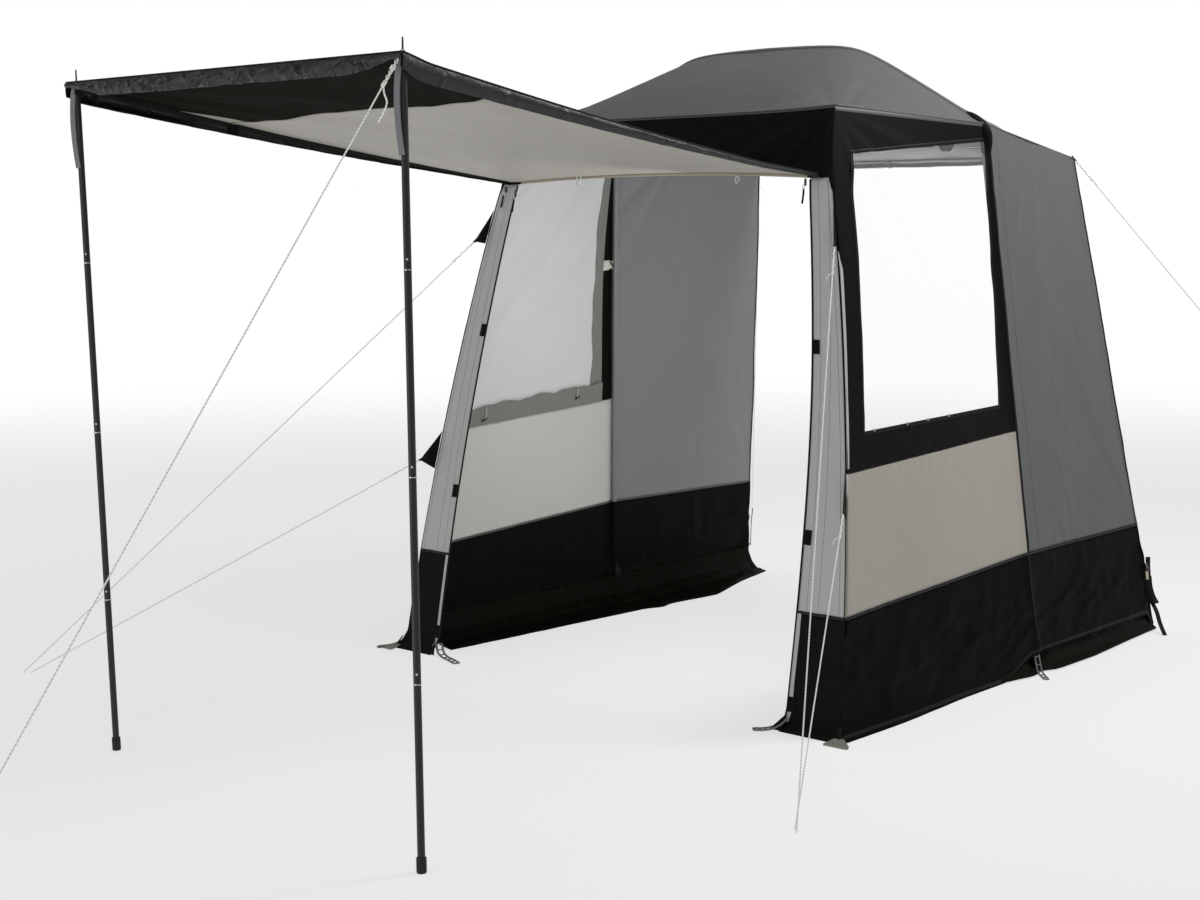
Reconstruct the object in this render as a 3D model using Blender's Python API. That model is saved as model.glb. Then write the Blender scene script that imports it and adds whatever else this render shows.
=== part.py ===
"""Tailgate tent: a fabric body on hidden poles, with its front door raised on two poles as a canopy.

Metres. X runs across the tent, Y runs from the front towards the rear opening, Z is up.
Right is +X for someone who stands outside and looks at the door.
All cloth is one outer shell of points. Each panel is a patch of that shell, given a thickness inwards.
Neighbouring panels share their edge points, so their edges meet along the same mitre.
"""

import math

import bpy
from mathutils import Vector

# Cloth
FABRIC = 0.004            # modelled thickness of every cloth panel
SEAM = 0.0002             # each panel stops this far short of a seam
SEAT = 0.0004             # clearance where one piece lies against another
CURTAIN = 0.0025          # modelled thickness of the curtain

# Wall heights, from the ground up, at the front corner, the middle seam and the rear edge
FRONT_LEVELS = (0.0, 0.393, 0.865, 0.925, 0.986, 1.932, 2.10)
MIDDLE_LEVELS = (0.0, 0.454, 0.921, 0.970, 1.020, 1.994, 2.051)
REAR_LEVELS = (0.0, 0.442, 1.942)
DOOR_TOP = 1.85           # height of the header edge at the door posts
DOOR_RISE = 0.035         # how far that edge bows up in the middle

# Plan of the body
CORNER_FOOT_X = 1.066     # half width at the front corners, on the ground
CORNER_SLOPE = 0.0561     # how fast the corner leans in
CORNER_CURVE = 0.0488     # how the lean grows with the height
FRONT_SLOPE = 0.17        # how fast the front leans back
FRONT_CURVE = 0.514       # extra lean above FRONT_BEND
FRONT_BEND = 1.75
POST_FOOT_X = 0.872       # half width of the doorway on the ground
POST_CURVE = 0.0493
MIDDLE_FOOT = (1.085, 1.277)
MIDDLE_LEAN = (-0.0853, -0.0795)
REAR_FOOT = (1.072, 2.265)
REAR_LEAN = (-0.1411, -0.1385)

# Window in each side wall, as shares of the way from the front corner to the middle seam
WINDOW_FRONT = (0.100, 0.117)   # at the bottom and top of the opening
WINDOW_REAR = (0.917, 0.987)

# Roof
CROWN = 2.372             # height of the arch in the middle
SHOULDER_SLOPE = 0.66     # fall of the arch beyond its shoulder
SHOULDER_ROUND = 0.07     # how softly the shoulder turns
ARCH_LEAN = 0.357         # the arch leans forward by this share of its height
FRONT_SAG = 0.012         # dip of the front roof edge between the corners
ROOF_BULGE = 0.015
REAR_CAMBER = 0.075       # rise of the rear roof edge in the middle

# Canopy
CANOPY_FRONT_Y = -1.632
CANOPY_FRONT_Z = 2.158
CANOPY_HALF = 0.798
CANOPY_SAG = 0.015
CANOPY_SEAM = 0.70        # share of the length where the black outer panel starts
CANOPY_LIFT = 0.010       # the canopy is sewn on this far above the lower edge of the header
CANOPY_PROUD = 0.0009     # and stands this far in front of it
HEM_REAR = 0.012          # depth of the hanging side hem at the tent
HEM_FRONT = 0.058         # and at the pole
HEM_POWER = 1.3           # how late the depth grows between them
VALANCE = 0.046           # depth of the hanging front edge
EYELET = 0.006            # half width of the hole for the pole spike
EYELET_INSET = 0.024      # from the canopy edges to the middle of the hole

# Poles
POLE_RADIUS = 0.0105
FOOT_RADIUS = 0.0125
FOOT_HEIGHT = 0.040
SPIKE_RADIUS = 0.003
SPIKE_LENGTH = 0.045
SPIKE_TAPER = 0.8         # radius of the tip, as a share
CHAMFER = 0.001           # along the pole, where its radius changes
RIGHT_POLE_FOOT = (0.967, -1.770)
LEFT_POLE_FOOT = (-0.658, -1.630)
FRAME_RADIUS = 0.008      # hidden frame poles
ARCH_CLEAR = 0.0160       # from the roof surface to the middle of the arch pole
LEG_CLEAR = 0.0131        # from the wall surface to the middle of its legs
CORNER_CLEAR = 0.0147     # the same for the front corner poles, along X and along Y
CORNER_POLE_TOP = 2.065
HOOP_TOP_GAP = 0.02       # the straight legs stop this far below the roof edge

# Guy lines: height on the tent, then the peg on the ground
ROPE = 0.0018
UPPER_TAB = (1.62, 1.75)  # lower and upper end of the tab on the corner
LOWER_TAB = (0.72, 0.87)
TAB_REACH = 0.085
FRONT_PEG = (1.525, -0.86)
LEFT_FRONT_PEG = (-1.84, -1.26)
REAR_PEG = (1.90, 3.375)
CANOPY_PEG = (0.95, -3.375)
CANOPY_GUY_RISE = 0.040   # where the rope leaves the spike, above the canopy
PEG_SPACING = 0.02        # between the two ropes of one peg

# Rolled rear door, under the rear edge of the roof
ROLL_RADIUS = 0.021
ROLL_HALF = 0.74
ROLL_Y = 1.945
ROLL_DROP = 0.975         # its middle line hangs this many radii below the cloth at its ends

# Mud flap inside each side wall
FLAP_TOP = 0.105
# Its section: how far inwards, as a share of the width, and the height
FLAP_SECTION = ((0.0, FLAP_TOP), (0.12, 0.055), (0.33, 0.016), (0.54, 0.0), (1.0, 0.0))
FLAP_LEAN = (0.0, 0.6, 0.85, 1.0, 1.0)   # how much each of those points faces up
# Its width at shares of the wall: widest behind the middle seam, drawn in at the rear corner
FLAP_WIDTHS = ((0.06, 0.19), (1.37, 0.31), (1.71, 0.19), (1.92, 0.12))
FLAP_NOTCH = 0.04         # half the length of wall where it stays clear of the pole

# Points of the shell
MERGE = 1e-5              # closer points are one
CELL = 1e-3               # side of a search cell
NEIGHBOURS = [(i, j, k) for i in (-1, 0, 1) for j in (-1, 0, 1) for k in (-1, 0, 1)]

# How finely the panels are divided
SIDE_STEPS = 7            # across each half of a side wall
ROOF_STEPS = 20           # across the roof; even
SPACING_POWER = 1.7       # how much closer the roof columns stand at the corners
SHARP = math.radians(30)  # edges that turn more than this are shaded sharp
CANOPY_ROWS = 14

COLOURS = {
    "grey_ripstop": (0.115, 0.117, 0.117, 1.0),
    "black_ripstop": (0.008, 0.009, 0.008, 1.0),
    "silver_ripstop": (0.37, 0.37, 0.36, 1.0),
    "beige_ripstop": (0.34, 0.315, 0.29, 1.0),
    "clear_film": (0.80, 0.82, 0.83, 0.25),
    "curtain_cloth": (0.49, 0.49, 0.48, 1.0),
    "coated_steel": (0.012, 0.012, 0.013, 1.0),
    "fibreglass": (0.02, 0.02, 0.02, 1.0),
    "white_rope": (0.75, 0.75, 0.72, 1.0),
    "flap_film": (0.012, 0.011, 0.011, 1.0),
}


def clear_scene():
    for thing in list(bpy.data.objects):
        bpy.data.objects.remove(thing, do_unlink=True)


def material(name):
    """The Principled material of that name, made once."""
    found = bpy.data.materials.get(name)
    if found:
        return found
    made = bpy.data.materials.new(name)
    made.use_nodes = True
    shader = made.node_tree.nodes["Principled BSDF"]
    shader.inputs["Base Color"].default_value = COLOURS[name]
    shader.inputs["Roughness"].default_value = 0.6
    shader.inputs["Alpha"].default_value = COLOURS[name][3]
    return made


def signed_volume(points, faces):
    total = 0.0
    for ids in faces:
        for b, c in zip(ids[1:], ids[2:]):
            total += points[ids[0]].dot(points[b].cross(points[c])) / 6.0
    return total


def add_object(name, points, faces, slot, smooth=False):
    """One mesh object with one material, its faces turned outwards."""
    if signed_volume(points, faces) < 0.0:
        faces = [tuple(reversed(ids)) for ids in faces]
    mesh = bpy.data.meshes.new(name)
    mesh.from_pydata([tuple(p) for p in points], [], faces)
    mesh.validate()
    mesh.update()
    mesh.materials.append(material(slot))
    if smooth:
        mesh.shade_smooth()
        mesh.set_sharp_from_angle(angle=SHARP)
    made = bpy.data.objects.new(name, mesh)
    bpy.context.collection.objects.link(made)
    return made


def mix(a, b, share):
    return a + (b - a) * share


def steps(first, last, count):
    return [mix(first, last, i / count) for i in range(count + 1)]


def mirrored(point):
    return Vector((-point[0], point[1], point[2]))


# The lines that the walls are stretched between


def front_y(z):
    return FRONT_SLOPE * z + FRONT_CURVE * max(0.0, z - FRONT_BEND) ** 2


def corner_line(z):
    """The right front corner at height z."""
    return Vector((CORNER_FOOT_X - CORNER_SLOPE * z - CORNER_CURVE * z * z, front_y(z), z))


def post_line(z):
    """The right edge of the doorway at height z."""
    return Vector((POST_FOOT_X - POST_CURVE * z * z, front_y(z), z))


def middle_line(z):
    """The seam half way along the right side wall."""
    return Vector((MIDDLE_FOOT[0] + MIDDLE_LEAN[0] * z, MIDDLE_FOOT[1] + MIDDLE_LEAN[1] * z, z))


def rear_line(z):
    """The rear edge of the right side wall."""
    return Vector((REAR_FOOT[0] + REAR_LEAN[0] * z, REAR_FOOT[1] + REAR_LEAN[1] * z, z))


def carry(value, source, target):
    """The level of one line that answers to a level of another, in proportion between named levels."""
    for low, high, to_low, to_high in zip(source, source[1:], target, target[1:]):
        if value <= high + 1e-9:
            return mix(to_low, to_high, (value - low) / (high - low))
    return target[-1]


def corner_heights():
    """Every height on the front corner where a row of the wall grid starts."""
    heights = steps(0.0, FRONT_LEVELS[1], 3)
    heights += steps(FRONT_LEVELS[1], FRONT_LEVELS[2], 3)[1:]
    heights += [FRONT_LEVELS[3], FRONT_LEVELS[4]]
    heights += steps(FRONT_LEVELS[4], DOOR_TOP, 5)[1:]
    heights += [FRONT_LEVELS[5]]
    heights += steps(FRONT_LEVELS[5], FRONT_LEVELS[6], 2)[1:]
    return heights


def arch_point(s):
    """A point on the arch over the middle seam; s runs from -1 on the left to 1 on the right."""
    foot = middle_line(MIDDLE_LEVELS[-1])
    x = foot.x * s
    slope = foot.z + SHOULDER_SLOPE * (foot.x - abs(x))
    gap = slope - CROWN
    z = 0.5 * (slope + CROWN - math.sqrt(gap * gap + SHOULDER_ROUND ** 2))
    low = foot.z + 0.5 * (CROWN - foot.z - math.sqrt((CROWN - foot.z) ** 2 + SHOULDER_ROUND ** 2))
    z += (foot.z - low) * abs(s) ** 8
    return Vector((x, foot.y - ARCH_LEAN * (z - foot.z), z))


def front_edge_point(s):
    """A point on the front edge of the roof. Its spacing closes up towards the corners."""
    corner = corner_line(FRONT_LEVELS[-1])
    share = math.copysign(1.0 - (1.0 - abs(s)) ** SPACING_POWER, s)
    return Vector((corner.x * share, corner.y, corner.z - FRONT_SAG * (1.0 - share ** 4)))


def rear_edge_point(s):
    corner = rear_line(REAR_LEVELS[-1])
    return Vector((corner.x * s, corner.y, corner.z + REAR_CAMBER * (1.0 - s * s)))


class Shell:
    """Points and tagged faces. Points closer than MERGE are one point."""

    def __init__(self, inside):
        self.points = []
        self.index = {}
        self.faces = {}
        self.inside = Vector(inside)
        self.normals = None

    def point(self, p):
        cell = tuple(round(c / CELL) for c in p)
        for step in NEIGHBOURS:
            for i in self.index.get((cell[0] + step[0], cell[1] + step[1], cell[2] + step[2]), ()):
                if (self.points[i] - p).length < MERGE:
                    return i
        self.index.setdefault(cell, []).append(len(self.points))
        self.points.append(Vector(p))
        return len(self.points) - 1

    def face(self, panel, corners):
        """Add a face to a panel, turned so that it looks away from the inside."""
        ids = [self.point(p) for p in corners]
        a, b, c, d = (self.points[i] for i in (ids * 2)[:4])
        normal = (c - a).cross(self.points[ids[-1]] - b)
        if normal.dot(a - self.inside) < 0.0:
            ids.reverse()
        self.faces.setdefault(panel, []).append(tuple(ids))

    def grid(self, rows, panel_of):
        """Add the faces between rows of points; panel_of(row, column) names the panel or is None."""
        for r in range(len(rows) - 1):
            for c in range(len(rows[r]) - 1):
                panel = panel_of(r, c)
                if panel:
                    self.face(panel, (rows[r][c], rows[r][c + 1], rows[r + 1][c + 1], rows[r + 1][c]))

    def face_normal(self, ids):
        total = Vector((0.0, 0.0, 0.0))
        for a, b in zip(ids, ids[1:] + ids[:1]):
            total += self.points[a].cross(self.points[b])
        return total

    def find_normals(self):
        """Outward direction at every point: the faces of all panels round it, weighed by their angles."""
        self.normals = [Vector((0.0, 0.0, 0.0)) for _ in self.points]
        for faces in self.faces.values():
            for ids in faces:
                direction = self.face_normal(ids).normalized()
                for before, i, after in zip(ids[-1:] + ids[:-1], ids, ids[1:] + ids[:1]):
                    back = self.points[before] - self.points[i]
                    ahead = self.points[after] - self.points[i]
                    self.normals[i] += direction * back.angle(ahead)
        self.normals = [n.normalized() for n in self.normals]

    def body(self, name, slot, thickness=FABRIC, depth=0.0):
        """One closed solid from a panel: its patch, depth below the shell, thickened inwards."""
        faces = self.faces[name]
        edges = {}
        for ids in faces:
            for a, b in zip(ids, ids[1:] + ids[:1]):
                edges[(a, b)] = ids
        border = {}
        for (a, b), ids in edges.items():
            if (b, a) in edges:
                continue
            along = (self.points[b] - self.points[a]).normalized()
            inwards = self.face_normal(ids).normalized().cross(along)
            border.setdefault(a, []).append(inwards)
            border.setdefault(b, []).append(inwards)
        used = sorted({i for ids in faces for i in ids})
        where = {i: n for n, i in enumerate(used)}
        outer = []
        inner = []
        for i in used:
            shift = Vector((0.0, 0.0, 0.0))
            if i in border:
                first, last = border[i][0], border[i][-1]
                shift = SEAM * (first + last) / (1.0 + first.dot(last))
            base = self.points[i] + shift
            outer.append(base - self.normals[i] * depth)
            inner.append(base - self.normals[i] * (depth + thickness))
            if self.points[i].z < MERGE:
                outer[-1].z = inner[-1].z = 0.0
        count = len(used)
        solid = [tuple(where[i] for i in ids) for ids in faces]
        solid += [tuple(where[i] + count for i in reversed(ids)) for ids in faces]
        for a, b in edges:
            if (b, a) not in edges:
                solid.append((where[b], where[a], where[a] + count, where[b] + count))
        add_object(name, outer + inner, solid, slot, smooth=True)


def side_point(share, row_height):
    """A point of the right side wall. share is 0 at the front corner, 1 at the middle seam, 2 at the rear."""
    middle_height = carry(row_height, FRONT_LEVELS, MIDDLE_LEVELS)
    if share <= 1.0:
        z = mix(row_height, middle_height, share)
        a, b, t = corner_line(row_height), middle_line(middle_height), share
    else:
        levels = (MIDDLE_LEVELS[0], MIDDLE_LEVELS[1], MIDDLE_LEVELS[-1])
        rear_height = carry(middle_height, levels, REAR_LEVELS)
        z = mix(middle_height, rear_height, share - 1.0)
        a, b, t = middle_line(middle_height), rear_line(rear_height), share - 1.0
    return Vector((mix(a.x, b.x, t), mix(a.y, b.y, t), z))


def side_shares(row_height):
    """Column positions along one row: front stile, window, rear stile, then the rear half."""
    low, high = FRONT_LEVELS[4], FRONT_LEVELS[5]
    t = min(1.0, max(0.0, (row_height - low) / (high - low)))
    start = mix(WINDOW_FRONT[0], WINDOW_FRONT[1], t)
    end = mix(WINDOW_REAR[0], WINDOW_REAR[1], t)
    return [0.0] + steps(start, end, SIDE_STEPS) + steps(1.0, 2.0, SIDE_STEPS)


def side_rows():
    heights = corner_heights()
    return heights, [[side_point(s, h) for s in side_shares(h)] for h in heights]


def side_panel(side, heights, row, column):
    """Name of the panel that owns a cell of a side wall."""
    z = heights[row]
    window_columns = 1 <= column <= SIDE_STEPS
    if z < FRONT_LEVELS[1] - 1e-6:
        return side + "_skirt"
    if column > SIDE_STEPS + 1:
        return side + "_rear_panel"
    if z < FRONT_LEVELS[2] - 1e-6:
        return side + "_lower_panel"
    if window_columns and FRONT_LEVELS[4] - 1e-6 < z < FRONT_LEVELS[5] - 1e-6:
        return side + "_window_pane"
    return side + "_window_frame"


def door_edge_points():
    """The lower edge of the header from the left corner to the right one, through both door posts."""
    right = [post_line(DOOR_TOP), (post_line(DOOR_TOP) + corner_line(DOOR_TOP)) / 2, corner_line(DOOR_TOP)]
    left = [mirrored(p) for p in reversed(right)]
    between = []
    for s in steps(-1.0, 1.0, ROOF_STEPS - 4)[1:-1]:
        z = DOOR_TOP + DOOR_RISE * (1.0 - s * s)
        between.append(Vector((right[0].x * s, front_y(z), z)))
    return left + between + right


def header_rows():
    """Rows of the black band over the door, from the door edge up to the roof."""
    bottom = door_edge_points()
    top = [front_edge_point(s) for s in steps(-1.0, 1.0, ROOF_STEPS)]
    heights = [h for h in corner_heights() if h > DOOR_TOP - 1e-9]
    rows = [bottom]
    for h in heights[1:-1]:
        share = (h - DOOR_TOP) / (heights[-1] - DOOR_TOP)
        row = []
        for low, high in zip(bottom, top):
            z = mix(low.z, high.z, share)
            row.append(Vector((mix(low.x, high.x, share), front_y(z), z)))
        row[-1] = corner_line(h)
        row[0] = mirrored(row[-1])
        rows.append(row)
    return rows + [top]


def build_tent_shell():
    """The whole outer surface of the tent body, with every face tagged by its panel."""
    shell = Shell(inside=(0.0, 1.1, 1.0))
    heights, right = side_rows()
    left = [[mirrored(p) for p in row] for row in right]
    shell.grid(right, lambda r, c: side_panel("right", heights, r, c))
    shell.grid(left, lambda r, c: side_panel("left", heights, r, c))

    strip_heights = [h for h in heights if h < DOOR_TOP + 1e-9]
    strip = [[post_line(h), (post_line(h) + corner_line(h)) / 2, corner_line(h)] for h in strip_heights]
    for side, flip in (("right", False), ("left", True)):
        rows = [[mirrored(p) for p in row] for row in strip] if flip else strip
        low = FRONT_LEVELS[1] - 1e-6
        shell.grid(rows, lambda r, c: side + ("_strip_skirt" if strip_heights[r] < low else "_front_strip"))

    shell.grid(header_rows(), lambda r, c: "front_header")

    # The end columns of the front roof are the eaves, cut at the same places as the side walls.
    across = steps(-1.0, 1.0, ROOF_STEPS)
    eave = [0.0] + steps(WINDOW_FRONT[1], WINDOW_REAR[1], SIDE_STEPS) + [1.0]
    front = []
    for t in eave:
        row = []
        for s in across:
            p = mix(front_edge_point(s), arch_point(s), t)
            p.z += ROOF_BULGE * math.sin(math.pi * t) * (1.0 - s * s)
            row.append(p)
        front.append(row)
    shell.grid(front, lambda r, c: "roof_front_panel")
    rear = [[mix(arch_point(s), rear_edge_point(s), t) for s in across] for t in steps(0.0, 1.0, SIDE_STEPS)]
    shell.grid(rear, lambda r, c: "roof_rear_panel")
    shell.find_normals()
    return shell


def build_curtain(shell):
    """The closed curtain inside the left window, lying against the inner face of the window frame."""
    heights, rows = side_rows()
    low, high = FRONT_LEVELS[2] - 1e-6, FRONT_LEVELS[5] + 0.05
    keep = [r for r, h in enumerate(heights) if low < h]
    for r, next_r in zip(keep, keep[1:]):
        if heights[r] > high:
            break
        for c in range(1, SIDE_STEPS + 1):
            cell = (rows[r][c], rows[r][c + 1], rows[next_r][c + 1], rows[next_r][c])
            shell.face("left_curtain", [mirrored(p) for p in cell])
    shell.body("left_curtain", "curtain_cloth", CURTAIN, depth=FABRIC + SEAT)
    shell.faces.pop("left_curtain")


def canopy_rows():
    """Rows of the raised door panel from the header to the front edge, without the hanging edges."""
    header = header_rows()
    rear = []
    for low, high in list(zip(header[0], header[1]))[1:-1]:
        up = (high - low).normalized()
        out = Vector((0.0, -up.z, up.y)).normalized()
        rear.append(low + up * CANOPY_LIFT + out * CANOPY_PROUD)
    front = []
    for p in rear:
        front.append(Vector((CANOPY_HALF * p.x / rear[-1].x, CANOPY_FRONT_Y, CANOPY_FRONT_Z)))
    rows = []
    inset = 2 * EYELET_INSET / (rear[0].y - CANOPY_FRONT_Y)
    shares = steps(0.0, CANOPY_SEAM, CANOPY_ROWS - 4) + steps(CANOPY_SEAM, 1.0 - inset, 4)[1:] + [1.0]
    for t in shares:
        row = []
        for a, b in zip(rear, front):
            p = mix(a, b, t)
            p.z -= CANOPY_SAG * math.sin(math.pi * t) if t < 1.0 - inset + 1e-9 else 0.0
            row.append(p)
        rows.append(row)
    # The outermost columns are one eyelet pad wide at the front edge.
    for row in rows:
        for end, beside in ((0, 1), (-1, -2)):
            row[beside].x = row[end].x - math.copysign(2 * EYELET_INSET, row[end].x)
    for row in rows[-2:]:
        for p in row:
            p.z = CANOPY_FRONT_Z
    return rows, shares


def hem_depth(share):
    return mix(HEM_REAR, HEM_FRONT, share ** HEM_POWER)


def build_canopy_shell():
    rows, shares = canopy_rows()
    shell = Shell(inside=(0.0, -0.7, 0.6))
    last = len(rows) - 2
    final = len(rows[0]) - 2

    def panel_of(r, c):
        if r == last and c in (0, final):
            return None
        return "canopy_inner_panel" if shares[r] < CANOPY_SEAM - 1e-6 else "canopy_outer_panel"

    shell.grid(rows, panel_of)
    # The two front corner pads, each with a square hole for the spike.
    for c in (0, final):
        pad = [rows[last][c], rows[last][c + 1], rows[last + 1][c + 1], rows[last + 1][c]]
        middle = sum(pad, Vector((0.0, 0.0, 0.0))) / 4
        hole = []
        for p in pad:
            across = math.copysign(EYELET, p.x - middle.x)
            hole.append(middle + Vector((across, math.copysign(EYELET, p.y - middle.y), 0.0)))
        for i in range(4):
            j = (i + 1) % 4
            shell.face("canopy_outer_panel", (pad[i], pad[j], hole[j], hole[i]))

    header = header_rows()
    for side, c in (("left", 0), ("right", -1)):
        top = [row[c] for row in rows]
        low = [p - Vector((0.0, 0.0, hem_depth(t))) for p, t in zip(top, shares)]
        back = header[0][1 if c == 0 else -2] - header[1][1 if c == 0 else -2]
        low[0] = top[0] + back.normalized() * hem_depth(0.0)
        low[-1].z = top[-1].z - VALANCE
        shell.grid([top, low], lambda r, c: side + "_canopy_hem")
    top = rows[-1]
    low = [p - Vector((0.0, 0.0, VALANCE)) for p in top]
    shell.grid([top, low], lambda r, c: "canopy_valance")
    shell.find_normals()
    return shell, rows


def ring(centre, radius, side, up, count):
    return [centre + (side * math.cos(a) + up * math.sin(a)) * radius
            for a in (2 * math.pi * i / count for i in range(count))]


def loft(name, rings, slot):
    """A closed solid through rings of points with equal counts."""
    count = len(rings[0])
    points = [p for r in rings for p in r]
    faces = [tuple(reversed(range(count)))]
    for k in range(len(rings) - 1):
        for i in range(count):
            j = (i + 1) % count
            faces.append((k * count + i, k * count + j, (k + 1) * count + j, (k + 1) * count + i))
    faces.append(tuple(range((len(rings) - 1) * count, len(rings) * count)))
    add_object(name, points, faces, slot, smooth=True)


def tube(name, path, radius, slot, count=10, level_start=False, level_end=False):
    """A round bar along a path. A level end is cut parallel to the ground."""
    rings = []
    side = None
    for i, p in enumerate(path):
        before = path[max(i - 1, 0)]
        after = path[min(i + 1, len(path) - 1)]
        along = (after - before).normalized()
        if (i == 0 and level_start) or (i == len(path) - 1 and level_end):
            along = Vector((0.0, 0.0, math.copysign(1.0, along.z)))
        if side is None:
            side = along.orthogonal().normalized()
        side = (side - along * side.dot(along)).normalized()
        rings.append(ring(p, radius, side, along.cross(side), count))
    loft(name, rings, slot)


def build_canopy_pole(name, foot, pad_middle):
    """A push-fit pole from a rubber foot to a shoulder under the canopy, with a spike through its eyelet."""
    shoulder = CANOPY_FRONT_Z - FABRIC - 2 * SEAT
    stations = [(0.0, FOOT_RADIUS), (FOOT_HEIGHT, FOOT_RADIUS), (FOOT_HEIGHT + CHAMFER, POLE_RADIUS),
                (shoulder - CHAMFER, POLE_RADIUS), (shoulder, POLE_RADIUS - CHAMFER),
                (shoulder + CHAMFER / 4, SPIKE_RADIUS),
                (shoulder + SPIKE_LENGTH, SPIKE_RADIUS * SPIKE_TAPER)]
    bottom = Vector((foot[0], foot[1], 0.0))
    top = Vector((pad_middle.x, pad_middle.y, shoulder))
    rings = []
    for z, radius in stations:
        centre = mix(bottom, top, min(1.0, z / shoulder))
        centre.z = z
        rings.append(ring(centre, radius, Vector((1, 0, 0)), Vector((0, 1, 0)), 16))
    loft(name, rings, "coated_steel")


def build_hoop():
    """The frame pole that follows the middle seams and carries the arch of the roof."""
    leg = []
    top = MIDDLE_LEVELS[-1]
    for z in steps(0.0, top - HOOP_TOP_GAP, 8):
        p = middle_line(z)
        leg.append(Vector((p.x - LEG_CLEAR, p.y, z)))
    over = []
    for s in steps(1.0, -1.0, 40)[1:-1]:
        p = arch_point(s)
        slope = arch_point(min(1.0, s + 0.02)) - arch_point(max(-1.0, s - 0.02))
        down = Vector((slope.z, 0.0, -slope.x)).normalized()
        over.append(p + down * ARCH_CLEAR + Vector((0.0, 0.001, 0.0)))
    path = leg + over + [mirrored(p) for p in reversed(leg)]
    tube("roof_hoop_pole", path, FRAME_RADIUS, "fibreglass", 10, True, True)


def build_corner_pole(side):
    path = []
    for z in steps(0.0, CORNER_POLE_TOP, 14):
        p = corner_line(z)
        p = Vector((p.x - CORNER_CLEAR, p.y + CORNER_CLEAR, z))
        path.append(mirrored(p) if side == "left" else p)
    tube(side + "_corner_pole", path, FRAME_RADIUS, "fibreglass", 10, True, True)


def build_door_roll():
    """The rear door, rolled up. It lies straight across, and its ends touch the roof beside the rear corners."""
    share = ROLL_HALF / rear_line(REAR_LEVELS[-1]).x
    edge = rear_edge_point(share)
    rise = (arch_point(share).z - edge.z) / (edge.y - arch_point(share).y) * (edge.y - ROLL_Y)
    z = edge.z + rise - FABRIC - ROLL_RADIUS * ROLL_DROP - 2 * SEAT
    path = [Vector((ROLL_HALF * s, ROLL_Y, z)) for s in (-1.0, 0.0, 1.0)]
    tube("rear_door_roll", path, ROLL_RADIUS, "silver_ripstop", 14)


def flap_width(share):
    for (low, width), (high, to_width) in zip(FLAP_WIDTHS, FLAP_WIDTHS[1:]):
        if share <= high + 1e-9:
            return mix(width, to_width, (share - low) / (high - low))
    return FLAP_WIDTHS[-1][1]


def build_mud_flap(side):
    """The strip sewn inside the skirt, which drops to the ground and lies inwards."""
    first, last = FLAP_WIDTHS[0][0], FLAP_WIDTHS[-1][0]
    shares = steps(first, 1.0 - 1.25 * FLAP_NOTCH, 5) + [1.0 - FLAP_NOTCH / 1.6, 1.0 + FLAP_NOTCH / 1.6]
    shares += steps(1.0 + 1.25 * FLAP_NOTCH, last, 6)
    lower = []
    for share in shares:
        past_leg = 2 * LEG_CLEAR if abs(share - 1.0) < FLAP_NOTCH else 0.0
        for inwards, z in FLAP_SECTION:
            wall = side_point(share, z)
            x = wall.x - FABRIC - 2 * SEAT - max(inwards * flap_width(share), past_leg)
            lower.append(Vector((x, wall.y, z)))
    count = len(FLAP_SECTION)
    upper = []
    for n, p in enumerate(lower):
        lean = FLAP_LEAN[n % count]
        rise = Vector((-(1.0 - lean), 0.0, lean))
        upper.append(p + rise.normalized() * FABRIC)
    total = len(lower)
    faces = []
    for r in range(len(shares) - 1):
        for k in range(count - 1):
            a, b = r * count + k, r * count + k + 1
            c, d = b + count, a + count
            faces.append((a, b, c, d))
            faces.append((d + total, c + total, b + total, a + total))
    for r in range(len(shares) - 1):
        for k, turn in ((0, True), (count - 1, False)):
            a, b = r * count + k, (r + 1) * count + k
            quad = (a, b, b + total, a + total)
            faces.append(quad if turn else tuple(reversed(quad)))
    for r, turn in ((0, False), (len(shares) - 1, True)):
        for k in range(count - 1):
            a, b = r * count + k, r * count + k + 1
            quad = (a, b, b + total, a + total)
            faces.append(quad if turn else tuple(reversed(quad)))
    merged = lower + upper
    if side == "left":
        merged = [mirrored(p) for p in merged]
        faces = [tuple(reversed(f)) for f in faces]
    add_object(side + "_mud_flap", merged, faces, "flap_film")


def build_guy(name, start, peg):
    peg_point = Vector((peg[0], peg[1], 0.0))
    path = [start + (peg_point - start) * t for t in (0.0, 0.5, 1.0)]
    tube(name, path, ROPE, "white_rope", 8, False, True)


def build_tab(name, low, high, sign, peg):
    """A triangular tab on a front corner, pointing at the peg. Returns where the guy line starts."""
    a, b = corner_line(low), corner_line(high)
    if sign < 0:
        a, b = mirrored(a), mirrored(b)
    middle = (a + b) / 2
    reach = Vector((peg[0], peg[1], 0.0)) - middle
    apex = middle + reach.normalized() * TAB_REACH
    along = (b - a).normalized()
    flat = reach.normalized()
    across = along.cross(flat).normalized() * (FABRIC / 2)
    outwards = Vector((flat.x, flat.y, 0.0)).normalized() * SEAT
    a, b = a + outwards, b + outwards
    points = [a - across, b - across, apex - across, a + across, b + across, apex + across]
    faces = [(0, 1, 2), (5, 4, 3), (0, 3, 4, 1), (1, 4, 5, 2), (2, 5, 3, 0)]
    add_object(name, points, faces, "black_ripstop")
    return apex + flat * SEAT * 2


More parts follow.
